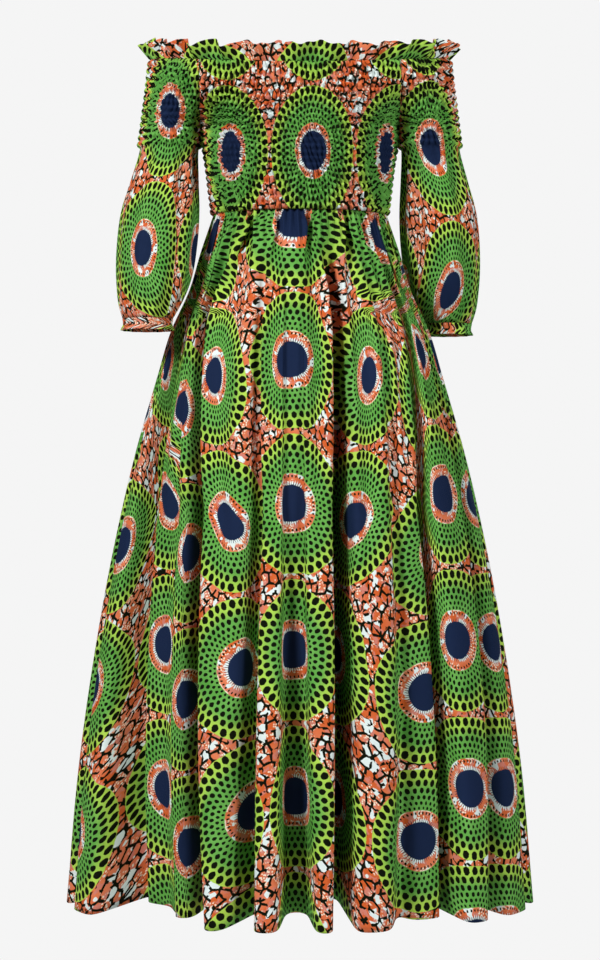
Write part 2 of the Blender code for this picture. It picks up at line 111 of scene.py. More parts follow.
class SkirtLevel(NamedTuple):
    """The skirt's half-width and half-depth over the tops of its folds."""

    z: float
    half_width: float
    half_depth: float


class SleeveLevel(NamedTuple):
    """A sleeve's inner and outer reach from the centre of the body, and its half-depth."""

    z: float
    inner: float
    outer: float
    half_depth: float


class Groove(NamedTuple):
    """A groove between two skirt folds, from the waist down, in degrees and metres.

    The runs are how far each wall reaches sideways for its depth; below 0 it overhangs the floor.
    Back is how far the fold after the groove stands back from the outline at the hem.
    """

    waist: float
    upper: float
    middle: float
    hem: float
    upper_depth: float
    middle_depth: float
    hem_depth: float
    floor: float
    left_run: float
    right_run: float
    back: float


class Crease(NamedTuple):
    """A soft trough on one fold of the skirt, which starts in the waist's gathers.

    Fold counts from the panel's first seam. High and low are the crease's places across the
    fold at its two ends, 0 to 1. The tuck is the width of cloth that it swallows.
    """

    fold: int
    high: float
    low: float
    top: float
    bottom: float
    width: float
    depth: float
    tuck: float


class PrintLine(NamedTuple):
    """A vertical row of round motifs: its place across the cut, how far it sits down, its angles."""

    across: float
    drop: float
    waist: float
    high: float
    hip: float
    thigh: float
    knee: float
    calf: float
    hem: float


BODICE_LEVELS = (
    BodiceLevel(z=0.0, half_width=0.1405, front=0.1095, back=0.1095),
    BodiceLevel(z=-0.045, half_width=0.1405, front=0.1150, back=0.1060),
    BodiceLevel(z=-0.096, half_width=0.1400, front=0.1180, back=0.1010),
    BodiceLevel(z=-0.150, half_width=0.1315, front=0.1090, back=0.0950),
    BodiceLevel(z=-0.221, half_width=0.1230, front=0.0950, back=0.0920),
)

SKIRT_LEVELS = (
    SkirtLevel(z=-0.221, half_width=0.1240, half_depth=0.0945),
    SkirtLevel(z=-0.270, half_width=0.1410, half_depth=0.1070),
    SkirtLevel(z=-0.330, half_width=0.1590, half_depth=0.1230),
    SkirtLevel(z=-0.385, half_width=0.1840, half_depth=0.1400),
    SkirtLevel(z=-0.450, half_width=0.2035, half_depth=0.1600),
    SkirtLevel(z=-0.560, half_width=0.2350, half_depth=0.1890),
    SkirtLevel(z=-0.700, half_width=0.2670, half_depth=0.2180),
    SkirtLevel(z=-0.850, half_width=0.2940, half_depth=0.2420),
    SkirtLevel(z=-1.000, half_width=0.3150, half_depth=0.2600),
    SkirtLevel(z=-1.196, half_width=0.3325, half_depth=0.2760),
)

SLEEVE_LEVELS = (
    SleeveLevel(z=0.0, inner=SEAM_X, outer=NECK_HALF_WIDTH, half_depth=NECK_HALF_DEPTH),
    SleeveLevel(z=-0.040, inner=SEAM_X, outer=0.2165, half_depth=0.0790),
    SleeveLevel(z=-0.096, inner=SEAM_X, outer=0.2240, half_depth=0.0600),
    SleeveLevel(z=-0.125, inner=0.1445, outer=0.2280, half_depth=0.0560),
    SleeveLevel(z=-0.170, inner=0.1440, outer=0.2405, half_depth=0.0600),
    SleeveLevel(z=-0.215, inner=0.1425, outer=0.2535, half_depth=0.0650),
    SleeveLevel(z=-0.265, inner=0.1450, outer=0.2592, half_depth=0.0670),
    SleeveLevel(z=-0.325, inner=0.1560, outer=0.2585, half_depth=0.0610),
    SleeveLevel(z=-0.355, inner=0.1690, outer=0.2545, half_depth=0.0500),
    SleeveLevel(z=-0.372, inner=0.1785, outer=0.2490, half_depth=0.0400),
)

GROOVE_LEVELS = (WAIST_Z, -0.34, -0.64, HEM_Z)

FRONT_GROOVES = (
    Groove(-90.0, -90.0, -90.0, -90.0, 0.0, 0.0, 0.0, 0.0, 0.0, 0.0, 0.000),
    Groove(-82.5, -81.5, -79.5, -77.0, 0.009, 0.020, 0.040, 0.011, 0.25, 0.25, 0.000),
    Groove(-69.5, -71.5, -63.5, -56.0, 0.016, 0.045, 0.088, 0.018, 0.10, 0.05, 0.070),
    Groove(-59.0, -61.0, -45.0, -35.5, 0.010, 0.026, 0.050, 0.009, 0.45, -0.05, 0.035),
    Groove(-49.0, -53.5, -35.5, -26.4, 0.028, 0.072, 0.110, 0.022, 0.04, 0.06, 0.000),
    Groove(-24.5, -19.0, -12.5, -11.6, 0.012, 0.030, 0.068, 0.011, 0.55, -0.05, 0.000),
    Groove(-5.0, -3.0, -2.0, -1.0, 0.008, 0.016, 0.074, 0.034, 0.10, 0.15, 0.000),
    Groove(17.0, 18.5, 13.2, 10.5, 0.038, 0.096, 0.120, 0.023, 0.03, 0.04, 0.000),
    Groove(37.0, 41.0, 32.0, 27.0, 0.010, 0.018, 0.045, 0.011, 0.60, 0.20, 0.030),
    Groove(51.0, 58.0, 43.5, 40.4, 0.018, 0.046, 0.098, 0.022, -0.08, 0.06, 0.000),
    Groove(66.0, 74.0, 68.0, 55.0, 0.012, 0.032, 0.082, 0.018, 0.10, 0.12, 0.000),
    Groove(81.5, 83.5, 82.0, 77.0, 0.009, 0.018, 0.040, 0.011, 0.25, 0.25, 0.000),
    Groove(90.0, 90.0, 90.0, 90.0, 0.0, 0.0, 0.0, 0.0, 0.0, 0.0, 0.000),
)

BACK_GROOVES = (
    Groove(90.0, 90.0, 90.0, 90.0, 0.0, 0.0, 0.0, 0.0, 0.0, 0.0, 0.000),
    Groove(98.0, 97.5, 99.0, 102.0, 0.009, 0.022, 0.046, 0.011, 0.25, 0.25, 0.000),
    Groove(111.0, 109.5, 111.0, 116.0, 0.014, 0.042, 0.080, 0.016, 0.15, 0.05, 0.020),
    Groove(124.0, 122.0, 125.5, 131.0, 0.012, 0.030, 0.060, 0.020, 0.40, 0.10, 0.000),
    Groove(140.0, 136.0, 139.0, 145.5, 0.020, 0.062, 0.095, 0.018, 0.05, 0.10, 0.000),
    Groove(157.0, 152.5, 155.0, 160.0, 0.012, 0.032, 0.070, 0.030, 0.10, 0.10, 0.000),
    Groove(173.5, 169.0, 171.5, 175.0, 0.018, 0.056, 0.090, 0.018, 0.05, 0.30, 0.015),
    Groove(188.5, 187.5, 189.0, 190.0, 0.010, 0.028, 0.068, 0.028, 0.12, 0.05, 0.000),
    Groove(207.0, 206.5, 207.0, 206.0, 0.024, 0.074, 0.100, 0.020, 0.05, 0.06, 0.000),
    Groove(224.5, 225.5, 223.5, 220.5, 0.010, 0.024, 0.055, 0.012, 0.50, 0.15, 0.020),
    Groove(242.5, 243.0, 240.0, 236.0, 0.016, 0.046, 0.085, 0.018, -0.05, 0.10, 0.000),
    Groove(259.0, 258.5, 257.0, 254.0, 0.009, 0.022, 0.050, 0.011, 0.20, 0.25, 0.000),
    Groove(270.0, 270.0, 270.0, 270.0, 0.0, 0.0, 0.0, 0.0, 0.0, 0.0, 0.000),
)

FRONT_CREASES = (
    Crease(1, 0.50, 0.45, -0.24, -0.60, 0.024, 0.005, 0.010),
    Crease(2, 0.30, 0.30, -0.23, -0.72, 0.026, 0.006, 0.012),
    Crease(2, 0.72, 0.66, -0.26, -0.54, 0.020, 0.004, 0.008),
    Crease(3, 0.45, 0.50, -0.23, -0.62, 0.022, 0.005, 0.010),
    Crease(4, 0.13, 0.22, -0.23, -0.60, 0.024, 0.006, 0.014),
    Crease(4, 0.36, 0.46, -0.22, -0.90, 0.030, 0.008, 0.018),
    Crease(4, 0.60, 0.70, -0.23, -0.74, 0.026, 0.007, 0.016),
    Crease(4, 0.84, 0.90, -0.24, -0.52, 0.022, 0.005, 0.012),
    Crease(5, 0.25, 0.30, -0.23, -0.60, 0.022, 0.005, 0.012),
    Crease(5, 0.64, 0.66, -0.22, -0.80, 0.028, 0.006, 0.014),
    Crease(6, 0.22, 0.28, -0.23, -0.66, 0.024, 0.007, 0.014),
    Crease(6, 0.48, 0.55, -0.22, -0.78, 0.026, 0.007, 0.014),
    Crease(6, 0.78, 0.76, -0.23, -0.56, 0.022, 0.006, 0.012),
    Crease(7, 0.18, 0.16, -0.23, -0.58, 0.024, 0.006, 0.014),
    Crease(7, 0.42, 0.40, -0.22, -0.86, 0.030, 0.008, 0.018),
    Crease(7, 0.68, 0.66, -0.23, -0.72, 0.026, 0.006, 0.014),
    Crease(8, 0.40, 0.45, -0.23, -0.66, 0.024, 0.006, 0.014),
    Crease(9, 0.35, 0.40, -0.24, -0.58, 0.022, 0.005, 0.010),
    Crease(9, 0.70, 0.68, -0.26, -0.76, 0.026, 0.006, 0.012),
    Crease(10, 0.50, 0.55, -0.24, -0.64, 0.024, 0.005, 0.010),
)

BACK_CREASES = (
    Crease(1, 0.45, 0.50, -0.24, -0.58, 0.024, 0.005, 0.010),
    Crease(2, 0.55, 0.50, -0.24, -0.70, 0.026, 0.006, 0.012),
    Crease(3, 0.35, 0.40, -0.23, -0.60, 0.024, 0.006, 0.012),
    Crease(4, 0.40, 0.46, -0.22, -0.76, 0.028, 0.007, 0.016),
    Crease(4, 0.74, 0.72, -0.24, -0.54, 0.022, 0.005, 0.010),
    Crease(5, 0.30, 0.35, -0.23, -0.64, 0.024, 0.006, 0.014),
    Crease(5, 0.70, 0.66, -0.22, -0.82, 0.028, 0.007, 0.016),
    Crease(6, 0.25, 0.30, -0.23, -0.58, 0.024, 0.006, 0.012),
    Crease(6, 0.62, 0.58, -0.22, -0.88, 0.030, 0.008, 0.018),
    Crease(7, 0.35, 0.32, -0.23, -0.62, 0.024, 0.006, 0.014),
    Crease(7, 0.70, 0.72, -0.22, -0.74, 0.028, 0.007, 0.016),
    Crease(8, 0.28, 0.34, -0.23, -0.66, 0.024, 0.006, 0.012),
    Crease(8, 0.66, 0.64, -0.22, -0.80, 0.028, 0.007, 0.016),
    Crease(9, 0.50, 0.46, -0.23, -0.56, 0.022, 0.005, 0.010),
    Crease(10, 0.45, 0.50, -0.24, -0.70, 0.026, 0.006, 0.012),
)

PRINT_LEVELS = (-0.285, -0.365, -0.434, -0.641, -0.836, -1.026, HEM_Z)

FRONT_PRINT = (
    PrintLine(-0.8, 0.053, -155.0, -104.0, -98.0, -70.0, -74.5, -76.0, -72.0),
    PrintLine(-0.6, -0.003, -132.0, -80.0, -73.0, -49.2, -45.8, -42.8, -40.0),
    PrintLine(-0.4, 0.066, -105.0, -62.0, -58.0, -38.4, -35.1, -32.4, -29.4),
    PrintLine(-0.2, 0.018, -63.0, -43.5, -41.5, -24.0, -15.7, -12.7, -11.8),
    PrintLine(0.0, 0.000, -6.5, -5.5, -5.0, -3.6, -2.6, -1.6, -1.4),
    PrintLine(0.2, 0.018, 52.0, 32.0, 30.0, 17.4, 11.1, 10.8, 10.3),
    PrintLine(0.4, 0.054, 98.0, 54.0, 53.0, 44.0, 38.5, 33.5, 31.0),
    PrintLine(0.6, -0.019, 125.0, 64.0, 62.5, 52.0, 47.5, 47.0, 46.0),
    PrintLine(0.8, -0.012, 150.0, 90.0, 84.0, 76.0, 69.0, 64.0, 60.0),
)

SHARED_SEED = 7


def ease(value: Array) -> Array:
    """A smooth step from 0 to 1."""
    value = np.clip(value, 0.0, 1.0)
    return value * value * (3 - 2 * value)


def read_table(z: Array, rows: tuple, column: str) -> Array:
    """Reads one column of a table on a smooth curve through its rows.

    Args:
        z: heights to read at.
        rows: the table, from the top down.
        column: the column's name.

    Returns:
        The column's values at z.
    """
    heights = np.array([row.z for row in rows])[::-1]
    values = np.array([getattr(row, column) for row in rows])[::-1]
    slopes = np.gradient(values, heights)
    z = np.clip(z, heights[0], heights[-1])
    low = np.clip(np.searchsorted(heights, z) - 1, 0, len(heights) - 2)
    span = heights[low + 1] - heights[low]
    part = (z - heights[low]) / span
    rise = part * part * (3 - 2 * part)
    leave = part * (1 - part) ** 2 * span * slopes[low]
    arrive = part * part * (part - 1) * span * slopes[low + 1]
    return values[low] * (1 - rise) + values[low + 1] * rise + leave + arrive


def spread(columns: int) -> Array:
    """Places across a piece, -1 to 1, with one column more beyond each end."""
    return (np.arange(-1, columns + 2) * 2 / columns - 1)[None, :]


def outward(points: Array) -> tuple[Array, Array]:
    """Trims the two end columns of padded rows and finds the level directions square to them.

    Args:
        points: rows of points that run anticlockwise seen from above.

    Returns:
        The rows without their end columns, and unit vectors that point outwards.
    """
    along = points[:, 2:] - points[:, :-2]
    normal = np.stack([along[..., 1], -along[..., 0], np.zeros(along.shape[:2])], axis=-1)
    return points[:, 1:-1], normal / np.linalg.norm(normal, axis=-1, keepdims=True)


def lower_front_neck(points: Array) -> Array:
    """Lowers the neckline towards the centre front, and half as far behind."""
    depth = points[..., 1] / NECK_HALF_DEPTH
    dip = np.where(depth < 0, NECK_DIP, BACK_DIP_SHARE * NECK_DIP)
    fade = ease(1 - points[..., 2] / WAIST_Z)
    dipped = points.copy()
    dipped[..., 2] -= dip * np.minimum(depth * depth, 1.0) * fade
    return dipped


def armhole(z: Array) -> tuple[Array, Array]:
    """Half the angle that a sleeve's section spans at z, and the seam's distance from the side."""
    part = np.clip(z / UNDERARM_Z, 0.0, 1.0)
    neck_angle = math.acos(SEAM_X / NECK_HALF_WIDTH)
    span = neck_angle + (math.pi - neck_angle) * (1 - (1 - part) ** ARMHOLE_BEND)
    return span, read_table(z, SLEEVE_LEVELS, "half_depth") * np.sin(span)


def middle_height(points: Array) -> Array:
    """The height of each row of points, as one column."""
    return points[:, :, 2].mean(axis=1)[:, None]


def arc_lengths(points: Array) -> Array:
    """The distance along each row of points from its first one."""
    steps = np.linalg.norm(np.diff(points, axis=1), axis=-1)
    return np.concatenate([np.zeros((len(points), 1)), np.cumsum(steps, axis=1)], axis=1)


def cloth_mesh(name: str, points: Array, flat: Array, first_ring: int | None = None) -> bpy.types.Object:
    """Makes a sheet of cloth from a grid of points, with its flat places as a UV map.

    Args:
        name: the piece's name.
        points: rows by columns of points.
        flat: rows by columns of places on the cloth as it was cut, in metres.
        first_ring: the first row that closes on itself, or None for an open panel.

    Returns:
        The new object.
    """
    rows, columns = points.shape[:2]
    closes = np.arange(rows) >= (rows if first_ring is None else first_ring)
    number = np.arange(rows * columns).reshape(rows, columns)
    number[closes, -1] = number[closes, 0]
    used, compact = np.unique(number, return_inverse=True)
    number = compact.reshape(rows, columns)
    grid = np.arange(rows * columns).reshape(rows, columns)

    def corners(index: Array) -> Array:
        quads = [index[:-1, :-1], index[1:, :-1], index[1:, 1:], index[:-1, 1:]]
        return np.stack(quads, axis=-1).reshape(-1, 4)

    mesh = bpy.data.meshes.new(name)
    vertices = points.reshape(-1, 3)[used]
    mesh.from_pydata(vertices.tolist(), [], corners(number).tolist())
    layer = mesh.uv_layers.new(name="cloth")
    layer.data.foreach_set("uv", flat.reshape(-1, 2)[corners(grid).ravel()].ravel())
    mesh.shade_smooth()
    mesh.update()
    piece = bpy.data.objects.new(name, mesh)
    bpy.context.scene.collection.objects.link(piece)
    return piece


def thicken(piece: bpy.types.Object, wall: float) -> None:
    """Gives a sheet its thickness, inwards from its outer face."""
    solid = piece.modifiers.new("wall", "SOLIDIFY")
    solid.thickness = wall
    solid.offset = -1.0
    solid.use_even_offset = False


def operator(operation: str, swapped: bool = False) -> Callable[["Sock", Number], "Sock"]:
    """Makes a method that adds one kind of Math node.

    Args:
        operation: the Math node's operation.
        swapped: whether the other value comes first.

    Returns:
        The method.
    """

    def method(sock: "Sock", other: Number) -> "Sock":
        """Adds the node on both values."""
        values = (other, sock) if swapped else (sock, other)
        return sock._math(operation, *values)

    return method


class Sock:
    """A shader socket that takes part in Python arithmetic through Math nodes."""

    def __init__(self, nodes: "Nodes", socket: bpy.types.NodeSocket) -> None:
        """Keeps the node tree's helper and the output socket."""
        self.nodes = nodes
        self.socket = socket

    def _math(self, operation: str, *values: Number) -> "Sock":
        """Adds a Math node on the values."""
        return self.nodes.add("ShaderNodeMath", {"operation": operation}, dict(enumerate(values)))

    __add__, __radd__ = operator("ADD"), operator("ADD", swapped=True)
    __sub__, __rsub__ = operator("SUBTRACT"), operator("SUBTRACT", swapped=True)
    __mul__, __rmul__ = operator("MULTIPLY"), operator("MULTIPLY", swapped=True)
    __truediv__, __rtruediv__ = operator("DIVIDE"), operator("DIVIDE", swapped=True)
    __pow__ = operator("POWER")
    __lt__ = operator("LESS_THAN")
    __mod__ = operator("FLOORED_MODULO")
    at_least = operator("MAXIMUM")
    at_most = operator("MINIMUM")
    angle_to = operator("ARCTAN2")

    def __abs__(self) -> "Sock":
        """The absolute value."""
        return self._math("ABSOLUTE", self)

    def floor(self) -> "Sock":
        """The next whole number down."""
        return self._math("FLOOR", self)

    def sine(self) -> "Sock":
        """The sine of an angle in radians."""
        return self._math("SINE", self)

    def log(self) -> "Sock":
        """The natural logarithm."""
        return self._math("LOGARITHM", self, math.e)

    def root(self) -> "Sock":
        """The square root."""
        return self._math("SQRT", self)

    def rise(self, low: float, high: float) -> "Sock":
        """A smooth step from 0 at low to 1 at high, or down where low is the larger.

        Args:
            low: the value at which the result is 0.
            high: the value at which the result is 1.

        Returns:
            The step.
        """
        share = self._math("DIVIDE", self - low, high - low)
        share = share.at_least(0.0).at_most(1.0)
        return share * share * (3.0 - 2.0 * share)


class Nodes:
    """Adds nodes to one material's tree."""

    def __init__(self, name: str) -> None:
        """Makes a material with only its output node."""
        self.material = bpy.data.materials.new(name)
        self.material.use_nodes = True
        self.tree = self.material.node_tree
        self.tree.nodes.clear()
        self.output = self.tree.nodes.new("ShaderNodeOutputMaterial")

    def add(self, kind: str, settings: dict[str, Any], inputs: dict, out: int | str = 0) -> Sock:
        """Adds a node.

        Args:
            kind: the node's type.
            settings: attributes that are set before the sockets.
            inputs: values or sockets by input number or name.
            out: the output to return.

        Returns:
            The output socket.
        """
        node = self.tree.nodes.new(kind)
        for key, value in settings.items():
            setattr(node, key, value)
        for key, value in inputs.items():
            if isinstance(value, Sock):
                self.tree.links.new(value.socket, node.inputs[key])
            else:
                node.inputs[key].default_value = value
        return Sock(self, node.outputs[out])

    def mix(self, share: Number, first: Union[Colour, Sock], second: Union[Colour, Sock]) -> Sock:
        """Blends two colours: the first where share is 0, the second where it is 1."""
        settings = {"data_type": "RGBA", "blend_type": "MIX", "clamp_factor": True}
        return self.add("ShaderNodeMix", settings, {0: share, 6: first, 7: second}, 2)

    def shade(self, share: Number, first: Sock, tint: Union[Colour, Sock]) -> Sock:
        """Multiplies a colour by a tint."""
        settings = {"data_type": "RGBA", "blend_type": "MULTIPLY", "clamp_factor": True}
        return self.add("ShaderNodeMix", settings, {0: share, 6: first, 7: tint}, 2)

    def noise(self, place: Sock, scale: float, detail: float = 2.0, out: int | str = 0) -> Sock:
        """Smooth noise from 0 to 1."""
        inputs = {"Vector": place, "Scale": scale, "Detail": detail, "Roughness": 0.55}
        return self.add("ShaderNodeTexNoise", {"noise_dimensions": "2D"}, inputs, out)

    def cells(self, place: Sock, scale: float, feature: str, out: str = "Distance") -> Sock:
        """Voronoi cells with straight sides."""
        settings = {"voronoi_dimensions": "2D", "feature": feature}
        return self.add("ShaderNodeTexVoronoi", settings, {"Vector": place, "Scale": scale}, out)


def srgb(code: str) -> Colour:
    """Turns a web colour into linear light."""
    channels = [int(code[index : index + 2], 16) / 255 for index in (0, 2, 4)]
    linear = [c / 12.92 if c <= 0.04045 else ((c + 0.055) / 1.055) ** 2.4 for c in channels]
    return (*linear, 1.0)


@dataclass(frozen=True)
class Medallion:
    """The print's round motif: its radii in metres and its rings of dots."""

    navy: float = 0.0255
    ring: float = 0.0412
    disc: float = 0.0962
    dots: int = 44
    dot_rows: int = 6
    edge: float = 0.0004


@dataclass(frozen=True)
class WaxPrint:
    """Printed cotton: round motifs of staggered dots on a crackled coral ground."""

    name: str
    motif: Medallion = field(default_factory=Medallion)
    repeat: float = PRINT_REPEAT
    roughness: float = 0.62
    specular: float = 0.06
    weave: float = 0.00042
    weave_height: float = 0.00006
    crumple: float = 0.0006
    crack_cell: float = 0.0122
    crack_width: float = 0.0019

    green: ClassVar[Colour] = srgb("4f9a3a")
    pale_green: ClassVar[Colour] = srgb("7cc060")
    lime: ClassVar[Colour] = srgb("b8df58")
    dark: ClassVar[Colour] = srgb("0c1103")
    coral: ClassVar[Colour] = srgb("e8825a")
    deep_coral: ClassVar[Colour] = srgb("d9642f")
    pink: ClassVar[Colour] = srgb("d98473")
    cream: ClassVar[Colour] = srgb("fbeed8")
    ice: ClassVar[Colour] = srgb("e9f6f6")
    navy: ClassVar[Colour] = srgb("182747")

    def make(self) -> bpy.types.Material:
        """Builds the material.

        Returns:
            The finished material.
        """
        nodes = Nodes(self.name)
        place = nodes.add("ShaderNodeUVMap", {"uv_map": "cloth"}, {})
        wobble = nodes.noise(place, 260.0, 1.0, "Color")
        centred = nodes.add("ShaderNodeVectorMath", {"operation": "SUBTRACT"}, {0: wobble, 1: (0.5,) * 3})
        settings = {"operation": "MULTIPLY_ADD"}
        inked = nodes.add("ShaderNodeVectorMath", settings, {0: centred, 1: (0.0016,) * 3, 2: place})
        parts = nodes.add("ShaderNodeSeparateXYZ", {}, {0: inked})
        across = parts
        down = Sock(nodes, parts.socket.node.outputs[1])
        ground = self._ground(nodes, place)
        colour = self._medallions(nodes, ground, across, down, inked)
        tone = nodes.noise(place, 9.0, 3.0)
        colour = nodes.shade(1.0, colour, nodes.mix(tone, srgb("e9e9e4"), srgb("ffffff")))
        shader = nodes.add(
            "ShaderNodeBsdfPrincipled",
            {},
            {
                "Base Color": colour,
                "Roughness": self.roughness + 0.1 * nodes.noise(place, 40.0),
                "Specular IOR Level": self.specular,
                "Normal": self._relief(nodes, place),
            },
        )
        nodes.tree.links.new(shader.socket, nodes.output.inputs["Surface"])
        return nodes.material

    def _relief(self, nodes: Nodes, place: Sock) -> Sock:
        """The woven threads and soft crumpling, as a normal."""
        parts = nodes.add("ShaderNodeSeparateXYZ", {}, {0: place})
        turn = 2 * math.pi / self.weave
        warp = (parts * turn).sine()
        weft = (Sock(nodes, parts.socket.node.outputs[1]) * turn).sine()
        threads = warp * weft * self.weave_height
        crumple = (nodes.noise(place, 55.0, 3.0) - 0.5) * self.crumple
        height = threads + crumple
        return nodes.add("ShaderNodeBump", {}, {"Height": height, "Strength": 1.0, "Distance": 1.0})

    def _mottle(self, nodes: Nodes, place: Sock) -> Sock:
        """Coral with cream, pale blue and pink blots, as wax leaves them."""
        blots = nodes.noise(place, 85.0, 2.0)
        drift = nodes.noise(place, 22.0, 1.0)
        colour = nodes.mix(drift.rise(0.35, 0.65), self.deep_coral, self.coral)
        colour = nodes.mix(blots.rise(0.54, 0.60), colour, self.pink)
        bubbles = nodes.cells(place, 270.0, "F1")
        thin = nodes.noise(place, 45.0, 1.0)
        speck = bubbles.rise(0.36, 0.26) * thin.rise(0.50, 0.58)
        colour = nodes.mix(speck, colour, self.cream)
        wash = nodes.noise(place, 62.0, 1.0).rise(0.63, 0.66)
        return nodes.mix(wash, colour, self.ice)

    def _ground(self, nodes: Nodes, place: Sock) -> Sock:
        """The mottled coral ground with its network of dark cracks."""
        colour = self._mottle(nodes, place)
        scale = 1.0 / self.crack_cell
        chosen = nodes.cells(place, scale, "F1", "Color")
        pick = nodes.add("ShaderNodeSeparateColor", {}, {0: chosen})
        colour = nodes.mix(pick < 0.09, colour, self.ice)
        edge = nodes.cells(place, scale, "DISTANCE_TO_EDGE") * self.crack_cell
        swelling = self.crack_width * (0.55 + 0.75 * nodes.noise(place, 140.0, 1.0))
        line = ((swelling - edge) / 0.0004 + 0.5).at_least(0.0).at_most(1.0)
        gaps = nodes.noise(place, 95.0, 1.0).rise(0.425, 0.455)
        knots = nodes.cells(place, scale, "F1").rise(0.72, 0.78)
        cracks = (line * gaps).at_least(knots)
        return nodes.mix(cracks, colour, self.dark)

    def _medallions(self, nodes: Nodes, ground: Sock, across: Sock, down: Sock, place: Sock) -> Sock:
        """Lays the round motifs over the ground.

        Args:
            nodes: the material's nodes.
            ground: the colour between the motifs.
            across: the place across the cloth in metres.
            down: the place down the cloth in metres.
            place: both as a vector.

        Returns:
            The print's colour.
        """
        motif = self.motif
        x = (across / self.repeat + 0.5) % 1.0 - 0.5
        y = (down / self.repeat + 0.5) % 1.0 - 0.5
        radius = (x * x + y * y).root() * self.repeat
        turn = y.angle_to(x) / (2 * math.pi)
        pitch = math.log(motif.disc / motif.ring) / motif.dot_rows
        level = (radius.at_least(0.001) / motif.ring).log() / pitch
        row = level.floor()
        around = turn * motif.dots + 0.5 * (row % 2.0)
        high = level - row - 0.5
        wide = around % 1.0 - 0.5
        tall = 0.34 + 0.024 * row
        broad = 0.25 + 0.023 * row
        dot = ((high / tall) ** 2.0 + (wide / broad) ** 2.0).rise(1.12, 0.88)
        inner = nodes.noise(place, 30.0, 2.0)
        green = nodes.mix(inner, self.green, self.pale_green)
        green = nodes.mix((level + inner).rise(3.9, 6.3), green, self.lime)
        disc = nodes.mix(dot, green, self.dark)
        colour = nodes.mix(radius.rise(motif.disc + motif.edge, motif.disc - motif.edge), ground, disc)
        heart = self._heart(nodes, radius, turn, place)
        return nodes.mix(radius.rise(motif.ring + motif.edge, motif.ring - motif.edge), colour, heart)

    def _heart(self, nodes: Nodes, radius: Sock, turn: Sock, place: Sock) -> Sock:
        """The coral ring with its ticks and the navy centre with its pale teeth."""
        motif = self.motif
        colour = self._mottle(nodes, place)
        rim = radius.rise(0.965 * motif.ring, 0.975 * motif.ring)
        colour = nodes.mix(rim * nodes.noise(place, 95.0, 1.0).rise(0.50, 0.60), colour, self.cream)
        tick_high = (radius - 0.905 * motif.ring) / 0.0019
        tick_wide = ((turn * motif.dots) % 1.0 - 0.5) / 0.22
        tick = (tick_high * tick_high + tick_wide * tick_wide).rise(1.15, 0.85)
        colour = nodes.mix(tick, colour, self.dark)
        ragged = nodes.noise(place, 330.0, 1.0)
        tooth = abs((turn * 56.0) % 1.0 - 0.5) * 2.0
        reach = motif.navy + 0.0062 * tooth + 0.0050 * (ragged - 0.5)
        bare = nodes.noise(place, 33.0, 1.0).rise(0.44, 0.50)
        colour = nodes.mix((radius - reach).rise(0.0003, -0.0003) * bare, colour, self.ice)
        spike = abs((turn * 56.0 + 0.5) % 1.0 - 0.5) * 2.0
        spur = motif.navy + 0.0046 * spike.rise(0.55, 1.0)
        centre = (radius - spur).rise(0.0003, -0.0003)
        return nodes.mix(centre, colour, self.navy)


@dataclass(frozen=True)
class StudioPaper:
    """Plain pale paper for the floor."""

    name: str = "studio_paper"
    colour: Colour = (0.62, 0.62, 0.62, 1.0)

    def make(self) -> bpy.types.Material:
        """Builds the material."""
        nodes = Nodes(self.name)
        inputs = {"Base Color": self.colour, "Roughness": 0.95, "Specular IOR Level": 0.0}
        shader = nodes.add("ShaderNodeBsdfPrincipled", {}, inputs)
        nodes.tree.links.new(shader.socket, nodes.output.inputs["Surface"])
        return nodes.material


def dress_piece(piece: bpy.types.Object, finish: WaxPrint, node: str) -> None:
    """Gives a piece its finish, attaches it to the frame's root body and hides the solid that it stands for.
    """
    made = bpy.data.materials.get(finish.name) or finish.make()
    piece.data.materials.append(made)
    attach(piece, "root")
    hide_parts(node)
    LOG.info("%s: %d faces", piece.name, len(piece.data.polygons))


def pucker(arc: Array, row: Array, rows: int, seed: int) -> tuple[Array, Array]:
    """The small upright gathers between shirring threads, which wander from row to row.

    Args:
        arc: distance along the cloth's surface.
        row: the place in shirring rows, with whole numbers on the threads.
        rows: the number of shirring rows.
        seed: picks the wander.

    Returns:
        The gathers' phase, with crests at whole turns, and how open the strip is between two threads.
    """
    chance = np.random.default_rng(seed)
    wander = chance.uniform(0, 2 * math.pi, (rows + 2, 3))
    upper = np.clip(np.floor(row), 0, rows).astype(int)
    part = row - upper

    def phase(thread: Array) -> Array:
        base = 2 * math.pi * arc / Shirring.PLEAT
        slow = 1.6 * np.sin(2 * math.pi * arc / 0.041 + wander[thread, 0])
        quick = 0.9 * np.sin(2 * math.pi * arc / 0.017 + wander[thread, 1])
        return base + slow + quick + 0.8 * np.sin(wander[thread, 2])

    turn = phase(upper) * (1 - ease(part)) + phase(np.minimum(upper + 1, rows + 1)) * ease(part)
    return turn, np.sin(np.pi * np.clip(part, 0.0, 1.0)) ** 0.7


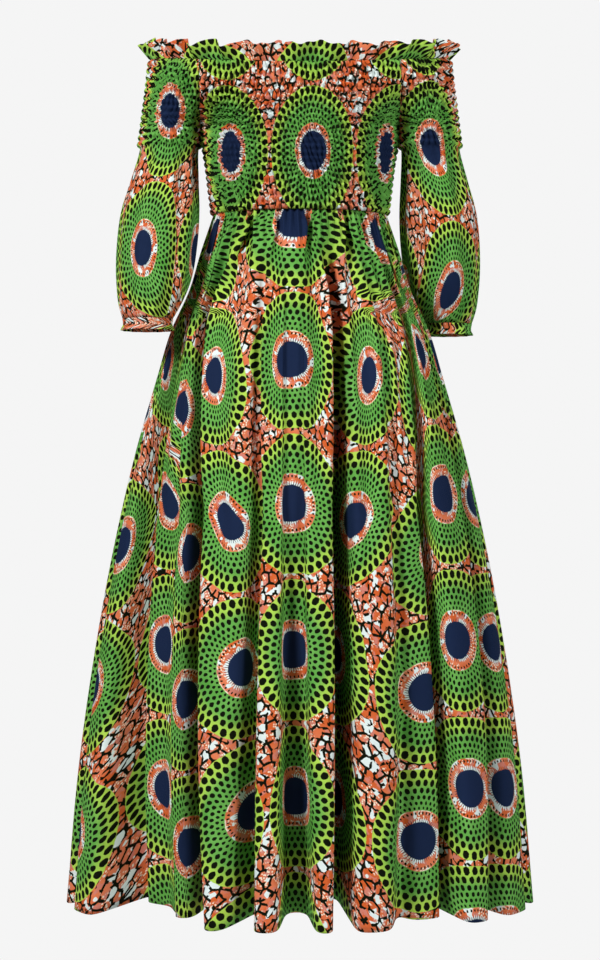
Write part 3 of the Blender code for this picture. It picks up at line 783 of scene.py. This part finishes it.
class Shirring:
    """Sizes shared by the shirred pieces."""

    PLEAT = 0.0071
    PUFF = 0.0043
    CREST = 0.0040
    PINCH = 0.0017
    SEAM_FADE = 0.005

    @classmethod
    def relief(cls, surface: Array, rows: int, seed: int, fullness: float) -> tuple[Array, Array]:
        """The outward relief of shirred cloth, and how its gathers draw the print together.

        Args:
            surface: the plain surface, rows by columns of points.
            rows: the number of shirring rows down the piece.
            seed: picks how the gathers wander.
            fullness: the cloth's width over the surface's.

        Returns:
            The relief at each point, and what its gather adds to its place across the cloth.
        """
        arc = arc_lengths(surface)
        row = np.clip(-surface[..., 2] / SHIRR_PITCH, 0, rows)
        turn, opening = pucker(arc, row, rows, seed)
        crest = 0.5 + 0.5 * np.cos(turn)
        height = opening * (cls.PUFF - cls.CREST + cls.CREST * crest) + cls.PINCH * crest
        fade = ease(np.minimum(arc, arc[:, -1:] - arc) / cls.SEAM_FADE)
        return height * fade, -fade * (fullness - 0.75) * cls.PLEAT / (2 * math.pi) * np.sin(turn)


@dataclass
class BodicePanel:
    """One shirred panel of the bodice."""

    side: Side
    columns: int = 460
    rows_per_strip: int = 4
    fullness: float = 1.65
    rise: float = 0.96
    print_across: float = -0.030
    print_down: float = -0.131
    flat_size: tuple[float, float] = (0.52, 0.255)

    @property
    def name(self) -> str:
        """The solid that the panel stands for."""
        return f"bodice_{self.side.name.lower()}"

    def surface(self, z: Array) -> Array:
        """Padded rows of points across the panel at the heights z."""
        side = self.side.value
        z = z[:, None]
        depth = read_table(z, BODICE_LEVELS, "front" if side < 0 else "back")
        seam_y = np.where(z > UNDERARM_Z, armhole(z)[1], 0.0)
        half_width = np.minimum(read_table(z, BODICE_LEVELS, "half_width"), SEAM_X) - SEAM_GAP / 2
        reach = np.arccos(np.clip(seam_y / depth, 0.0, 1.0))
        swell = half_width / np.sin(reach)
        angle = reach * spread(self.columns)
        x = -side * swell * np.sin(angle)
        y = side * (depth * np.cos(angle) + SEAM_GAP / 2)
        return np.stack([x, y, np.broadcast_to(z, x.shape)], axis=-1)

    def build(self) -> bpy.types.Object:
        """Makes the panel's shell.

        Returns:
            The panel.
        """
        steps = np.arange(BODICE_ROWS * self.rows_per_strip + 1) / self.rows_per_strip
        heights = np.clip(-SHIRR_PITCH * steps, WAIST_Z + SEAM_GAP / 2, -SEAM_GAP / 2)
        surface, normal = outward(self.surface(heights))
        arc = arc_lengths(surface)
        middle = arc[:, [self.columns // 2]]
        seed = SHARED_SEED + self.side.value
        relief, slip = Shirring.relief(surface, BODICE_ROWS, seed, self.fullness)
        points = lower_front_neck(surface + normal * relief[..., None])
        across = (arc - middle) * self.fullness + self.print_across + slip
        down = np.broadcast_to(-heights[:, None] * self.rise + self.print_down, across.shape)
        piece = cloth_mesh(f"{self.name}_cloth", points, np.stack([across, down], axis=-1))
        thicken(piece, CLOTH_WALL)
        return piece

    def dress(self, piece: bpy.types.Object) -> None:
        """Gives the panel its print."""
        dress_piece(piece, WaxPrint("shirred_print", Medallion(navy=0.0290)), self.name)


@dataclass
class Sleeve:
    """One off-the-shoulder sleeve: a shirred top over a soft puff."""

    hand: Hand
    columns: int = 270
    rows_per_strip: int = 4
    puff_rows: int = 40
    fullness: float = 1.9
    puff_fullness: float = 1.85
    print_arc: float = 0.0
    print_down: float = 0.0
    gather: float = 0.0060
    sway_bend: float = 1.2
    sway: float = 0.0
    cad_columns: int = 20
    flat_size: tuple[float, float] = (0.46, 0.38)
    flat_area: float = 0.155

    @property
    def name(self) -> str:
        """The solid that the sleeve stands for."""
        return f"sleeve_{self.hand.name.lower()}"

    def surface(self, z: Array) -> Array:
        """Padded rows of points round the sleeve at the heights z."""
        z = z[:, None]
        span, _ = armhole(z)
        inner = np.maximum(read_table(z, SLEEVE_LEVELS, "inner"), SEAM_X) + SEAM_GAP / 2
        outer = read_table(z, SLEEVE_LEVELS, "outer")
        half_width = (outer - inner) / (1 - np.cos(span))
        sign = self.hand.value
        angle = span * spread(self.columns)
        drop = np.clip((z - UNDERARM_Z) / (CUFF_Z - UNDERARM_Z), 0.0, 1.0)
        x = sign * (outer - half_width + half_width * np.cos(angle))
        y = sign * read_table(z, SLEEVE_LEVELS, "half_depth") * np.sin(angle)
        y = y + self.sway * drop**self.sway_bend
        return np.stack([x, y, np.broadcast_to(z, x.shape)], axis=-1)

    def gathers(self, z: Array) -> Array:
        """The soft gathers of the puff, which spring from the shirring and close at the cuff."""
        start = -SHIRR_PITCH * SLEEVE_ROWS
        z = z[:, None]
        fullness = ease((start - z) / 0.020) * (1 - 0.35 * ease((start - z) / 0.120))
        closing = ease((-0.355 - z) / (-0.355 - CUFF_Z))
        fullness = fullness * (1 - 0.6 * closing)
        column = np.arange(self.columns + 1)[None, :] * self.cad_columns / self.columns
        folds = 0.5 - 0.5 * np.cos(np.pi * column)
        fine = 0.5 - 0.5 * np.cos(3 * np.pi * column + 1.3 * np.sin(0.9 * column))
        near = ease((z + 0.190) / 0.05) + ease((-0.330 - z) / 0.03)
        return -fullness * (self.gather * folds + 0.0015 * near * fine)

    def build(self) -> bpy.types.Object:
        """Makes the sleeve's shell.

        Returns:
            The sleeve.
        """
        steps = np.arange(SLEEVE_ROWS * self.rows_per_strip) / self.rows_per_strip
        puff = np.linspace(-SHIRR_PITCH * SLEEVE_ROWS, CUFF_Z, self.puff_rows)
        heights = np.append(np.minimum(-SHIRR_PITCH * steps, -SEAM_GAP / 2), puff)
        surface, normal = outward(self.surface(heights))
        seed = SHARED_SEED + 4 + self.hand.value
        shirred = heights > -SHIRR_PITCH * SLEEVE_ROWS
        relief, slip = Shirring.relief(surface, SLEEVE_ROWS, seed, self.fullness)
        relief = relief * shirred[:, None] + self.gathers(heights)
        points = lower_front_neck(surface + normal * relief[..., None])
        ring_row = UNDERARM_ROWS * self.rows_per_strip
        points[ring_row:, -1] = points[ring_row:, 0]
        arc = arc_lengths(surface)
        loosened = ease((-heights[:, None] - SHIRR_PITCH * SLEEVE_ROWS) / 0.06)
        fullness = self.fullness + (self.puff_fullness - self.fullness) * loosened
        across = (arc - arc[:, [self.columns // 2]] - self.print_arc) * fullness
        across = across + slip * shirred[:, None]
        down = np.broadcast_to(-heights[:, None] + self.print_down, across.shape)
        flat = np.stack([across, down], axis=-1)
        piece = cloth_mesh(f"{self.name}_cloth", points, flat, ring_row)
        thicken(piece, CLOTH_WALL)
        return piece

    def dress(self, piece: bpy.types.Object) -> None:
        """Gives the sleeve its print."""
        dress_piece(piece, WaxPrint("sleeve_print"), self.name)


@dataclass
class Cuff:
    """The narrow elastic ring at a sleeve's end, with its small waved edge."""

    hand: Hand
    sway: float = 0.0
    waves: int = 12
    columns_per_wave: int = 14
    rows: int = 12
    wave: float = 0.0016
    bottom: float = -0.3880
    top: float = -0.3723
    print_down: float = 0.0
    fullness: float = 1.7
    flat_size: tuple[float, float] = (0.32, 0.018)

    @property
    def name(self) -> str:
        """The solid that the cuff stands for."""
        return f"cuff_{self.hand.name.lower()}"

    def build(self) -> bpy.types.Object:
        """Makes the cuff's shell.

        Returns:
            The cuff.
        """
        part = np.linspace(0.0, 1.0, self.rows)[:, None]
        heights = self.top + (self.bottom - self.top) * part
        columns = self.waves * self.columns_per_wave
        angle = math.pi * spread(columns)
        end = SLEEVE_LEVELS[-1]
        sign = self.hand.value
        growth = -0.0012 * np.sin(np.pi * part) + 0.0016 * ease((part - 0.5) * 2)
        swing = growth + self.wave * ease(part) * np.sin(self.waves * angle)
        swing = swing + 0.0006 * np.sin(3 * self.waves * angle + 1.0) * (1 - ease(part))
        middle = sign * (end.inner + end.outer) / 2
        x = middle + sign * ((end.outer - end.inner) / 2 + swing) * np.cos(angle)
        y = self.sway + sign * (end.half_depth + swing) * np.sin(angle)
        points = np.stack([x, y, np.broadcast_to(heights, x.shape)], axis=-1)
        surface, _ = outward(points)
        surface[:, -1] = surface[:, 0]
        arc = arc_lengths(surface)
        flat = np.stack([self.fullness * arc, np.broadcast_to(self.print_down - heights, arc.shape)], axis=-1)
        piece = cloth_mesh(f"{self.name}_cloth", surface, flat, 0)
        thicken(piece, CLOTH_WALL)
        return piece

    def dress(self, piece: bpy.types.Object) -> None:
        """Gives the cuff its print."""
        dress_piece(piece, WaxPrint("edge_print"), self.name)


@dataclass
class NeckFrill:
    """The waved heading above the neckline's top elastic row."""

    waves: int = 26
    columns_per_wave: int = 24
    rows: int = 14
    height: float = 0.0245
    flare: float = 0.010
    wave: float = 0.0080
    scallop: float = 0.0036
    unevenness: float = 0.45
    tuck: float = 0.0012
    print_down: float = -0.064
    flat_size: tuple[float, float] = (1.40, 0.026)

    name: str = "neck_frill"

    def build(self) -> bpy.types.Object:
        """Makes the frill's shell.

        Returns:
            The frill.
        """
        columns = self.waves * self.columns_per_wave
        angle = math.pi * spread(columns)
        part = np.linspace(0.0, 1.0, self.rows)[:, None]
        phase = self.waves * angle
        uneven = 1 + self.unevenness * np.sin(3 * angle) * np.cos(5 * angle)
        reach = self.flare * part + self.wave * uneven * part * np.cos(phase)
        crinkle = np.cos(3 * phase + 2.2 * np.sin(7 * angle))
        crinkle = crinkle + 0.6 * np.cos(4.7 * phase + 3 * np.sin(5 * angle))
        reach = reach + (0.0012 * (1 - part) + 0.0008 * part) * crinkle * ease(part / 0.12)
        x = (NECK_HALF_WIDTH + reach) * np.sin(angle)
        y = -(NECK_HALF_DEPTH + reach) * np.cos(angle)
        scallop = self.scallop * uneven * np.cos(phase)
        scallop = scallop + 0.0012 * np.cos(2.3 * phase + 2 * np.sin(4 * angle))
        z = (self.height + self.tuck - scallop) * part - self.tuck
        surface, _ = outward(np.stack([x, y, z], axis=-1))
        surface[:, -1] = surface[:, 0]
        points = lower_front_neck(surface)
        arc = arc_lengths(surface)
        across = arc / arc[:, -1:] * arc[-1, -1]
        flat = np.stack([across, np.broadcast_to(self.print_down - z[:, 1:-1], across.shape)], axis=-1)
        piece = cloth_mesh(f"{self.name}_cloth", points[::-1], flat[::-1], 0)
        thicken(piece, CLOTH_WALL)
        return piece

    def dress(self, piece: bpy.types.Object) -> None:
        """Gives the frill its print."""
        dress_piece(piece, WaxPrint("edge_print"), self.name)


@dataclass
class SkirtPanel:
    """Half the skirt: gathers at the waist, which run together into deep folds at the hem."""

    side: Side
    grooves: tuple[Groove, ...]
    creases: tuple[Crease, ...]
    lines: tuple[PrintLine, ...] = ()
    fineness: int = 5
    column_pitch: float = 0.0235
    rows: int = 100
    row_bend: float = 1.15
    widest_share: float = 0.82
    rounding_passes: int = 12
    hem_lift: float = 0.22
    gather_depth: float = 0.0065
    gather_steepness: float = 1.2
    gather_end: float = -0.335
    waist_cut: float = 0.66
    hem_cut: float = 2.05
    droop: float = -0.2
    print_down: float = -0.236

    @property
    def name(self) -> str:
        """The solid that the panel stands for."""
        return f"skirt_{self.side.name.lower()}"

    def reading(self, names: tuple[str, ...], z: Array) -> Array:
        """The named values of each groove at the heights z, as rows by grooves."""
        levels = [-height for height in GROOVE_LEVELS[-len(names) :]]
        columns = [[getattr(groove, name) for name in names] for groove in self.grooves]
        return np.stack([np.interp(-z, levels, values) for values in columns], axis=-1)

    def corners(self, z: Array) -> tuple[Array, Array]:
        """The corners of the panel's section at each height: wall tops and floor edges.

        Args:
            z: the heights of the rows.

        Returns:
            The corners' angles in degrees and their depths, both as rows by corners.
        """
        centre = self.reading(("waist", "upper", "middle", "hem"), z)
        depth = self.reading(("upper_depth", "middle_depth", "hem_depth"), z)
        depth = depth * ease((WAIST_Z - z) / (WAIST_Z - GROOVE_LEVELS[1]))[:, None]
        low = np.clip((GROOVE_LEVELS[1] - z) / (GROOVE_LEVELS[1] - HEM_Z), 0.0, 1.0)[:, None]
        half_width = read_table(z, SKIRT_LEVELS, "half_width")[:, None]
        half_depth = read_table(z, SKIRT_LEVELS, "half_depth")[:, None]
        turn = np.radians(centre)
        speed = np.hypot(half_width * np.cos(turn), half_depth * np.sin(turn)) * math.pi / 180
        field = {name: np.array([getattr(g, name) for g in self.grooves]) for name in Groove._fields}
        floor = field["floor"] / 2 * (0.75 + 0.25 * low) / speed
        left = floor + field["left_run"] * depth / speed
        right = floor + field["right_run"] * depth / speed
        back = field["back"] * low
        gap = np.diff(centre, axis=1)
        taken = right[:, :-1] + left[:, 1:]
        crowd = np.minimum(1.0, self.widest_share * gap / np.maximum(taken, 1e-6))
        angles, depths = [centre[:, 0]], [np.zeros(len(z))]
        for index in range(1, len(self.grooves) - 1):
            before, after = crowd[:, index - 1], crowd[:, index]
            place = centre[:, index]
            angles += [place - left[:, index] * before, place - floor[:, index] * before]
            angles += [place + floor[:, index] * after, place + right[:, index] * after]
            sunk = np.maximum(depth[:, index], back[:, index])
            depths += [back[:, index - 1], sunk, sunk, back[:, index]]
        angles.append(centre[:, -1])
        depths.append(np.zeros(len(z)))
        return np.stack(angles, axis=-1), np.stack(depths, axis=-1)

    def columns(self) -> tuple[Array, Array]:
        """Shares the mesh columns out between the corners by their distances at the hem.

        Returns:
            The corners' columns, and each mesh column's place among the corners.
        """
        angles, depths = self.corners(np.array([HEM_Z]))
        hem = SKIRT_LEVELS[-1]
        radius = (hem.half_width + hem.half_depth) / 2
        across = np.radians(np.diff(angles[0])) * radius
        counts = np.maximum(1, np.round(np.hypot(across, np.diff(depths[0])) / self.column_pitch))
        corner_columns = np.append(0.0, np.cumsum(counts))
        fine = np.arange(int(corner_columns[-1]) * self.fineness + 1) / self.fineness
        return corner_columns, fine

    def surface(self) -> Array:
        """Rows of points over the panel, from one side seam round to the other."""
        top = WAIST_Z - SEAM_GAP / 2
        rows = np.linspace(0.0, 1.0, self.rows) ** self.row_bend
        heights = top + rows * (HEM_Z - top)
        corner_angles, corner_depths = self.corners(heights)
        corner_columns, fine = self.columns()
        centre = self.reading(("waist", "upper", "middle", "hem"), heights)
        inner_middles = corner_columns[1:-1].reshape(-1, 4).mean(axis=1)
        middles = np.concatenate([[0.0], inner_middles, corner_columns[-1:]])
        folded = np.stack([np.interp(fine, corner_columns, row) for row in corner_angles])
        even = np.stack([np.interp(fine, middles, row) for row in centre])
        depth = np.stack([np.interp(fine, corner_columns, row) for row in corner_depths])
        formed = ease((WAIST_Z - heights) / (WAIST_Z - GROOVE_LEVELS[1]))[:, None]
        angle = np.radians(even + (folded - even) * formed)
        z = heights[:, None] + rows[:, None] * self.hem_lift * depth[-1]
        half_width = read_table(z, SKIRT_LEVELS, "half_width")
        half_depth = read_table(z, SKIRT_LEVELS, "half_depth")
        step = np.abs(np.gradient(angle, axis=1)) * self.fineness * (half_width + half_depth) / 2
        gather = np.minimum(self.gather_depth, self.gather_steepness * step)
        gather = gather * (1 - ease((WAIST_Z - z) / (WAIST_Z - self.gather_end)))
        inward = depth + gather * (0.5 - 0.5 * np.cos(np.pi * fine))
        normal = np.stack([np.sin(angle) * half_depth, -np.cos(angle) * half_width], axis=-1)
        normal /= np.linalg.norm(normal, axis=-1, keepdims=True)
        x = half_width * np.sin(angle) - inward * normal[..., 0]
        y = -half_depth * np.cos(angle) - inward * normal[..., 1]
        points = np.stack([x, y, z], axis=-1)
        for _ in range(self.rounding_passes):
            inner = (points[:, :-2] + 2 * points[:, 1:-1] + points[:, 2:]) / 4
            share = formed[..., None]
            points[:, 1:-1] = points[:, 1:-1] * (1 - share) + inner * share
        points[:, [0, -1], 1] = 0.0
        points[..., 1] += self.side.value * SEAM_GAP / 2
        return points

    @staticmethod
    def walls(points: Array) -> Array:
        """How far each step along the rows turns away from the skirt's round, from 0 to 1."""
        step = np.diff(points[..., :2], axis=1)
        middle = points[:, :-1, :2] + step / 2
        reach = np.linalg.norm(step, axis=-1) * np.linalg.norm(middle, axis=-1)
        turned = 1 - np.abs(step[..., 1] * middle[..., 0] - step[..., 0] * middle[..., 1]) / reach
        lower = ease((-middle_height(points) - 0.27) / 0.10)
        return 0.02 + 0.98 * lower * ease((turned - 0.12) / 0.40)

    @staticmethod
    def laid(arc: Array, wall: Array, at: Array, places: Array) -> Array:
        """Lays one row of cloth between the print lines, at its own scale but for the folds' walls.

        Args:
            arc: distance along the row of points.
            wall: how far each step between them is a fold's wall.
            at: where each print line lies along the row, also beyond its ends.
            places: each line's place across the cut.

        Returns:
            The place across the cut at each point.
        """
        plain = np.concatenate([[0.0], np.cumsum(np.diff(arc) * (1 - wall))])
        walled = arc - plain
        plain_at = np.interp(at, arc, plain) + at - np.clip(at, 0, arc[-1])
        walled_at = np.interp(at, arc, walled)
        across = np.empty_like(arc)
        for index in range(-1, len(at)):
            low, high = max(index, 0), min(index + 1, len(at) - 1)
            first = at[low] if index >= 0 else -1.0
            last = at[high] if index < len(at) - 1 else 9.0
            inside = (arc >= first) & (arc <= last)
            if low == high:
                across[inside] = places[low] + arc[inside] - at[low]
                continue
            gap = places[high] - places[low]
            free = plain_at[high] - plain_at[low]
            share = np.clip((gap - free) / max(walled_at[high] - walled_at[low], 1e-4), 0.1, 9.0)
            whole = free + share * (walled_at[high] - walled_at[low])
            run = plain[inside] - plain_at[low] + share * (walled[inside] - walled_at[low])
            across[inside] = places[low] + gap * run / max(whole, 1e-4)
        return across

    def line_columns(self, heights: Array) -> Array:
        """The mesh column at which each print line lies at each height, as rows by lines."""
        levels = np.array(PRINT_LEVELS)
        corner_angles, _ = self.corners(levels)
        corner_columns, _ = self.columns()
        last = corner_columns[-1]
        at_levels = []
        for index, row in enumerate(corner_angles):
            wanted = np.array([line[2 + index] for line in self.lines])
            if index == 0:
                inner = (wanted + 90) / 180 * last
            else:
                inner = np.interp(wanted, np.maximum.accumulate(row), corner_columns)
            beyond = np.abs(wanted) > 90
            at_levels.append(np.where(beyond, (wanted + 90) / 180 * last, inner))
        columns = [np.interp(-heights, -levels, column) for column in np.array(at_levels).T]
        return np.stack(columns, axis=-1)

    def creased(self, points: Array) -> tuple[Array, Array]:
        """Presses the creases into the folds.

        Args:
            points: the panel's plain surface.

        Returns:
            The creased surface, and the extra cloth swallowed up to each point of each row.
        """
        arc = arc_lengths(points)
        along = np.gradient(points, axis=1)
        normal = np.stack([along[..., 1], -along[..., 0], np.zeros(arc.shape)], axis=-1)
        normal *= -self.side.value / np.linalg.norm(normal, axis=-1, keepdims=True)
        normal *= np.sign((normal * points * (1, 1, 0)).sum(axis=-1).mean())
        corner_columns, fine = self.columns()
        heights = points[:, :, 2].mean(axis=1)
        sunk, swallowed = np.zeros(arc.shape), np.zeros(arc.shape)
        for crease in self.creases:
            begin, end = corner_columns[[4 * crease.fold, 4 * crease.fold + 1]]
            part = np.clip((crease.top - heights) / (crease.top - crease.bottom), 0.0, 1.0)
            share = crease.high + (crease.low - crease.high) * part
            place = begin + (end - begin) * share
            middle = np.array([np.interp(at, fine, row) for at, row in zip(place, arc)])
            fade = ease((1 - part) / 0.5) * ease((WAIST_Z - heights) / 0.03)
            away = (arc - middle[:, None]) / crease.width
            trough = 0.5 + 0.5 * np.cos(2 * np.pi * np.clip(away, -0.5, 0.5))
            sunk += crease.depth * fade[:, None] * trough
            swallowed += crease.tuck * fade[:, None] * ease(away + 0.5)
        return points - normal * sunk[..., None], swallowed

    def flat_places(self, points: Array, swallowed: Array) -> Array:
        """Where each point lies on the panel's cut, from the print's row at the centre front.

        Args:
            points: the creased surface.
            swallowed: the extra cloth in the creases, up to each point of each row.

        Returns:
            Places across and down the cloth.
        """
        arc = arc_lengths(points) + swallowed
        heights = np.linspace(0.0, 1.0, self.rows) ** self.row_bend * (HEM_Z - WAIST_Z) + WAIST_Z
        across, drop = np.zeros(arc.shape), np.zeros(arc.shape)
        if not self.lines:
            middle = arc[np.arange(len(arc)), np.abs(points[:, :, 0]).argmin(axis=1)][:, None]
            share = (arc - middle) / np.maximum(middle, arc[:, -1:] - middle)
            across = share * (self.waist_cut + (self.hem_cut - self.waist_cut) * self.lowness(heights)) / 2
            drop = self.droop * across**2
        else:
            _, fine = self.columns()
            places = np.array([line.across for line in self.lines])
            drops = np.array([line.drop for line in self.lines])
            walls = self.walls(points)
            for index, wanted in enumerate(self.line_columns(heights)):
                pace = arc[index, -1] / fine[-1]
                beyond = (wanted - np.clip(wanted, 0, fine[-1])) * pace
                at = np.interp(wanted, fine, arc[index]) + beyond
                across[index] = self.laid(arc[index], walls[index], at, places)
                part = np.clip((across[index] - places[0]) / PRINT_REPEAT, 0, len(places) - 1.001)
                whole = part.astype(int)
                step = ease((part - whole - 0.25) / 0.5)
                drop[index] = drops[whole] * (1 - step) + drops[whole + 1] * step
        down = -heights[:, None] + self.print_down - drop
        return np.stack([across, np.broadcast_to(down, arc.shape)], axis=-1)

    @staticmethod
    def lowness(heights: Array) -> Array:
        """How far down the skirt each row is, 0 to 1, as one column."""
        return ((WAIST_Z - heights) / (WAIST_Z - HEM_Z))[:, None]

    def build(self) -> bpy.types.Object:
        """Makes the panel's shell.

        Returns:
            The panel.
        """
        surface, swallowed = self.creased(self.surface())
        piece = cloth_mesh(f"{self.name}_cloth", surface, self.flat_places(surface, swallowed))
        thicken(piece, CLOTH_WALL)
        return piece

    def dress(self, piece: bpy.types.Object) -> None:
        """Gives the panel its print."""
        dress_piece(piece, WaxPrint("skirt_print"), self.name)


@dataclass
class Studio:
    """The camera, the soft lights, the paper floor and the pale surroundings."""

    camera_y: float = -3.5
    camera_z: float = -0.598
    focal_share: float = 2450 / 960
    floor_z: float = -2.2
    paper_radius: float = 2.3
    surroundings: Colour = (0.913, 0.913, 0.913, 1.0)
    faint: Colour = (0.12, 0.12, 0.12, 1.0)

    def camera(self) -> None:
        """Places the camera at the photograph's distance and height."""
        data = bpy.data.cameras.new("camera")
        data.sensor_fit = "VERTICAL"
        data.sensor_height = 36.0
        data.lens = data.sensor_height * self.focal_share
        camera = bpy.data.objects.new("camera", data)
        camera.location = (0.0, self.camera_y, self.camera_z)
        camera.rotation_euler = (math.radians(90), 0.0, 0.0)
        bpy.context.scene.collection.objects.link(camera)
        bpy.context.scene.camera = camera

    def paper(self) -> None:
        """Lays a round sheet of paper on the floor."""
        turns = np.linspace(0.0, 2 * math.pi, 97)
        radius = np.array([0.001, self.paper_radius])[:, None]
        x = radius * np.cos(turns)
        y = radius * np.sin(turns)
        points = np.stack([x, y, np.full(x.shape, self.floor_z)], axis=-1)
        sheet = cloth_mesh("paper", points, points[..., :2], 0)
        sheet.data.materials.append(StudioPaper().make())

    def light(self, name: str, place: tuple, aim: tuple, size: float, power: float) -> None:
        """Adds one soft square light.

        Args:
            name: the light's name.
            place: where it hangs.
            aim: the point that it faces.
            size: its side in metres.
            power: its power in watts.
        """
        data = bpy.data.lights.new(name, "AREA")
        data.size = size
        data.energy = power
        lamp = bpy.data.objects.new(name, data)
        lamp.location = place
        direction = Vector(aim) - Vector(place)
        lamp.rotation_euler = direction.to_track_quat("-Z", "Y").to_euler()
        bpy.context.scene.collection.objects.link(lamp)

    def lights(self) -> None:
        """Adds the studio's lights and its even pale surroundings."""
        middle = (0.0, 0.0, -0.6)
        self.light("key", (-2.8, -3.0, 1.7), middle, 1.0, 208.0)
        self.light("fill", (3.1, -2.8, 0.7), middle, 1.0, 108.0)
        self.light("rear", (0.6, 3.2, 1.6), middle, 1.8, 150.0)
        world = bpy.data.worlds.new("surroundings")
        world.use_nodes = True
        tree = world.node_tree
        seen = tree.nodes.new("ShaderNodeLightPath")
        blend = tree.nodes.new("ShaderNodeMix")
        blend.data_type = "RGBA"
        blend.inputs[6].default_value = self.faint
        blend.inputs[7].default_value = self.surroundings
        tree.links.new(seen.outputs["Is Camera Ray"], blend.inputs[0])
        tree.links.new(blend.outputs[2], tree.nodes["Background"].inputs["Color"])
        bpy.context.scene.world = world

    def build(self) -> None:
        """Sets up the whole studio."""
        self.camera()
        self.paper()
        self.lights()


def make_sleeve_and_cuff(hand: Hand) -> None:
    """Makes one arm's two pieces."""
    sway = {Hand.LEFT: -0.060, Hand.RIGHT: 0.055}[hand]
    print_arc, down = {Hand.LEFT: (0.080, -0.0756), Hand.RIGHT: (-0.080, -0.128)}[hand]
    sleeve = Sleeve(hand, sway=sway, print_arc=print_arc, print_down=down)
    sleeve.dress(sleeve.build())
    cuff = Cuff(hand, sway=sway, print_down=down)
    cuff.dress(cuff.build())


def main() -> None:
    """Makes the studio and then the dress, from the neckline down."""
    logging.basicConfig(level=logging.INFO, format="%(name)s %(message)s")
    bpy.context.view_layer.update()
    bpy.context.scene.view_settings.view_transform = "Standard"
    Studio().build()
    frill = NeckFrill()
    frill.dress(frill.build())
    for side in Side:
        panel = BodicePanel(side)
        panel.dress(panel.build())
    for hand in Hand:
        make_sleeve_and_cuff(hand)
    for skirt in (
        SkirtPanel(Side.FRONT, FRONT_GROOVES, FRONT_CREASES, FRONT_PRINT),
        SkirtPanel(Side.BACK, BACK_GROOVES, BACK_CREASES),
    ):
        skirt.dress(skirt.build())


if __name__ == "__main__":
    main()
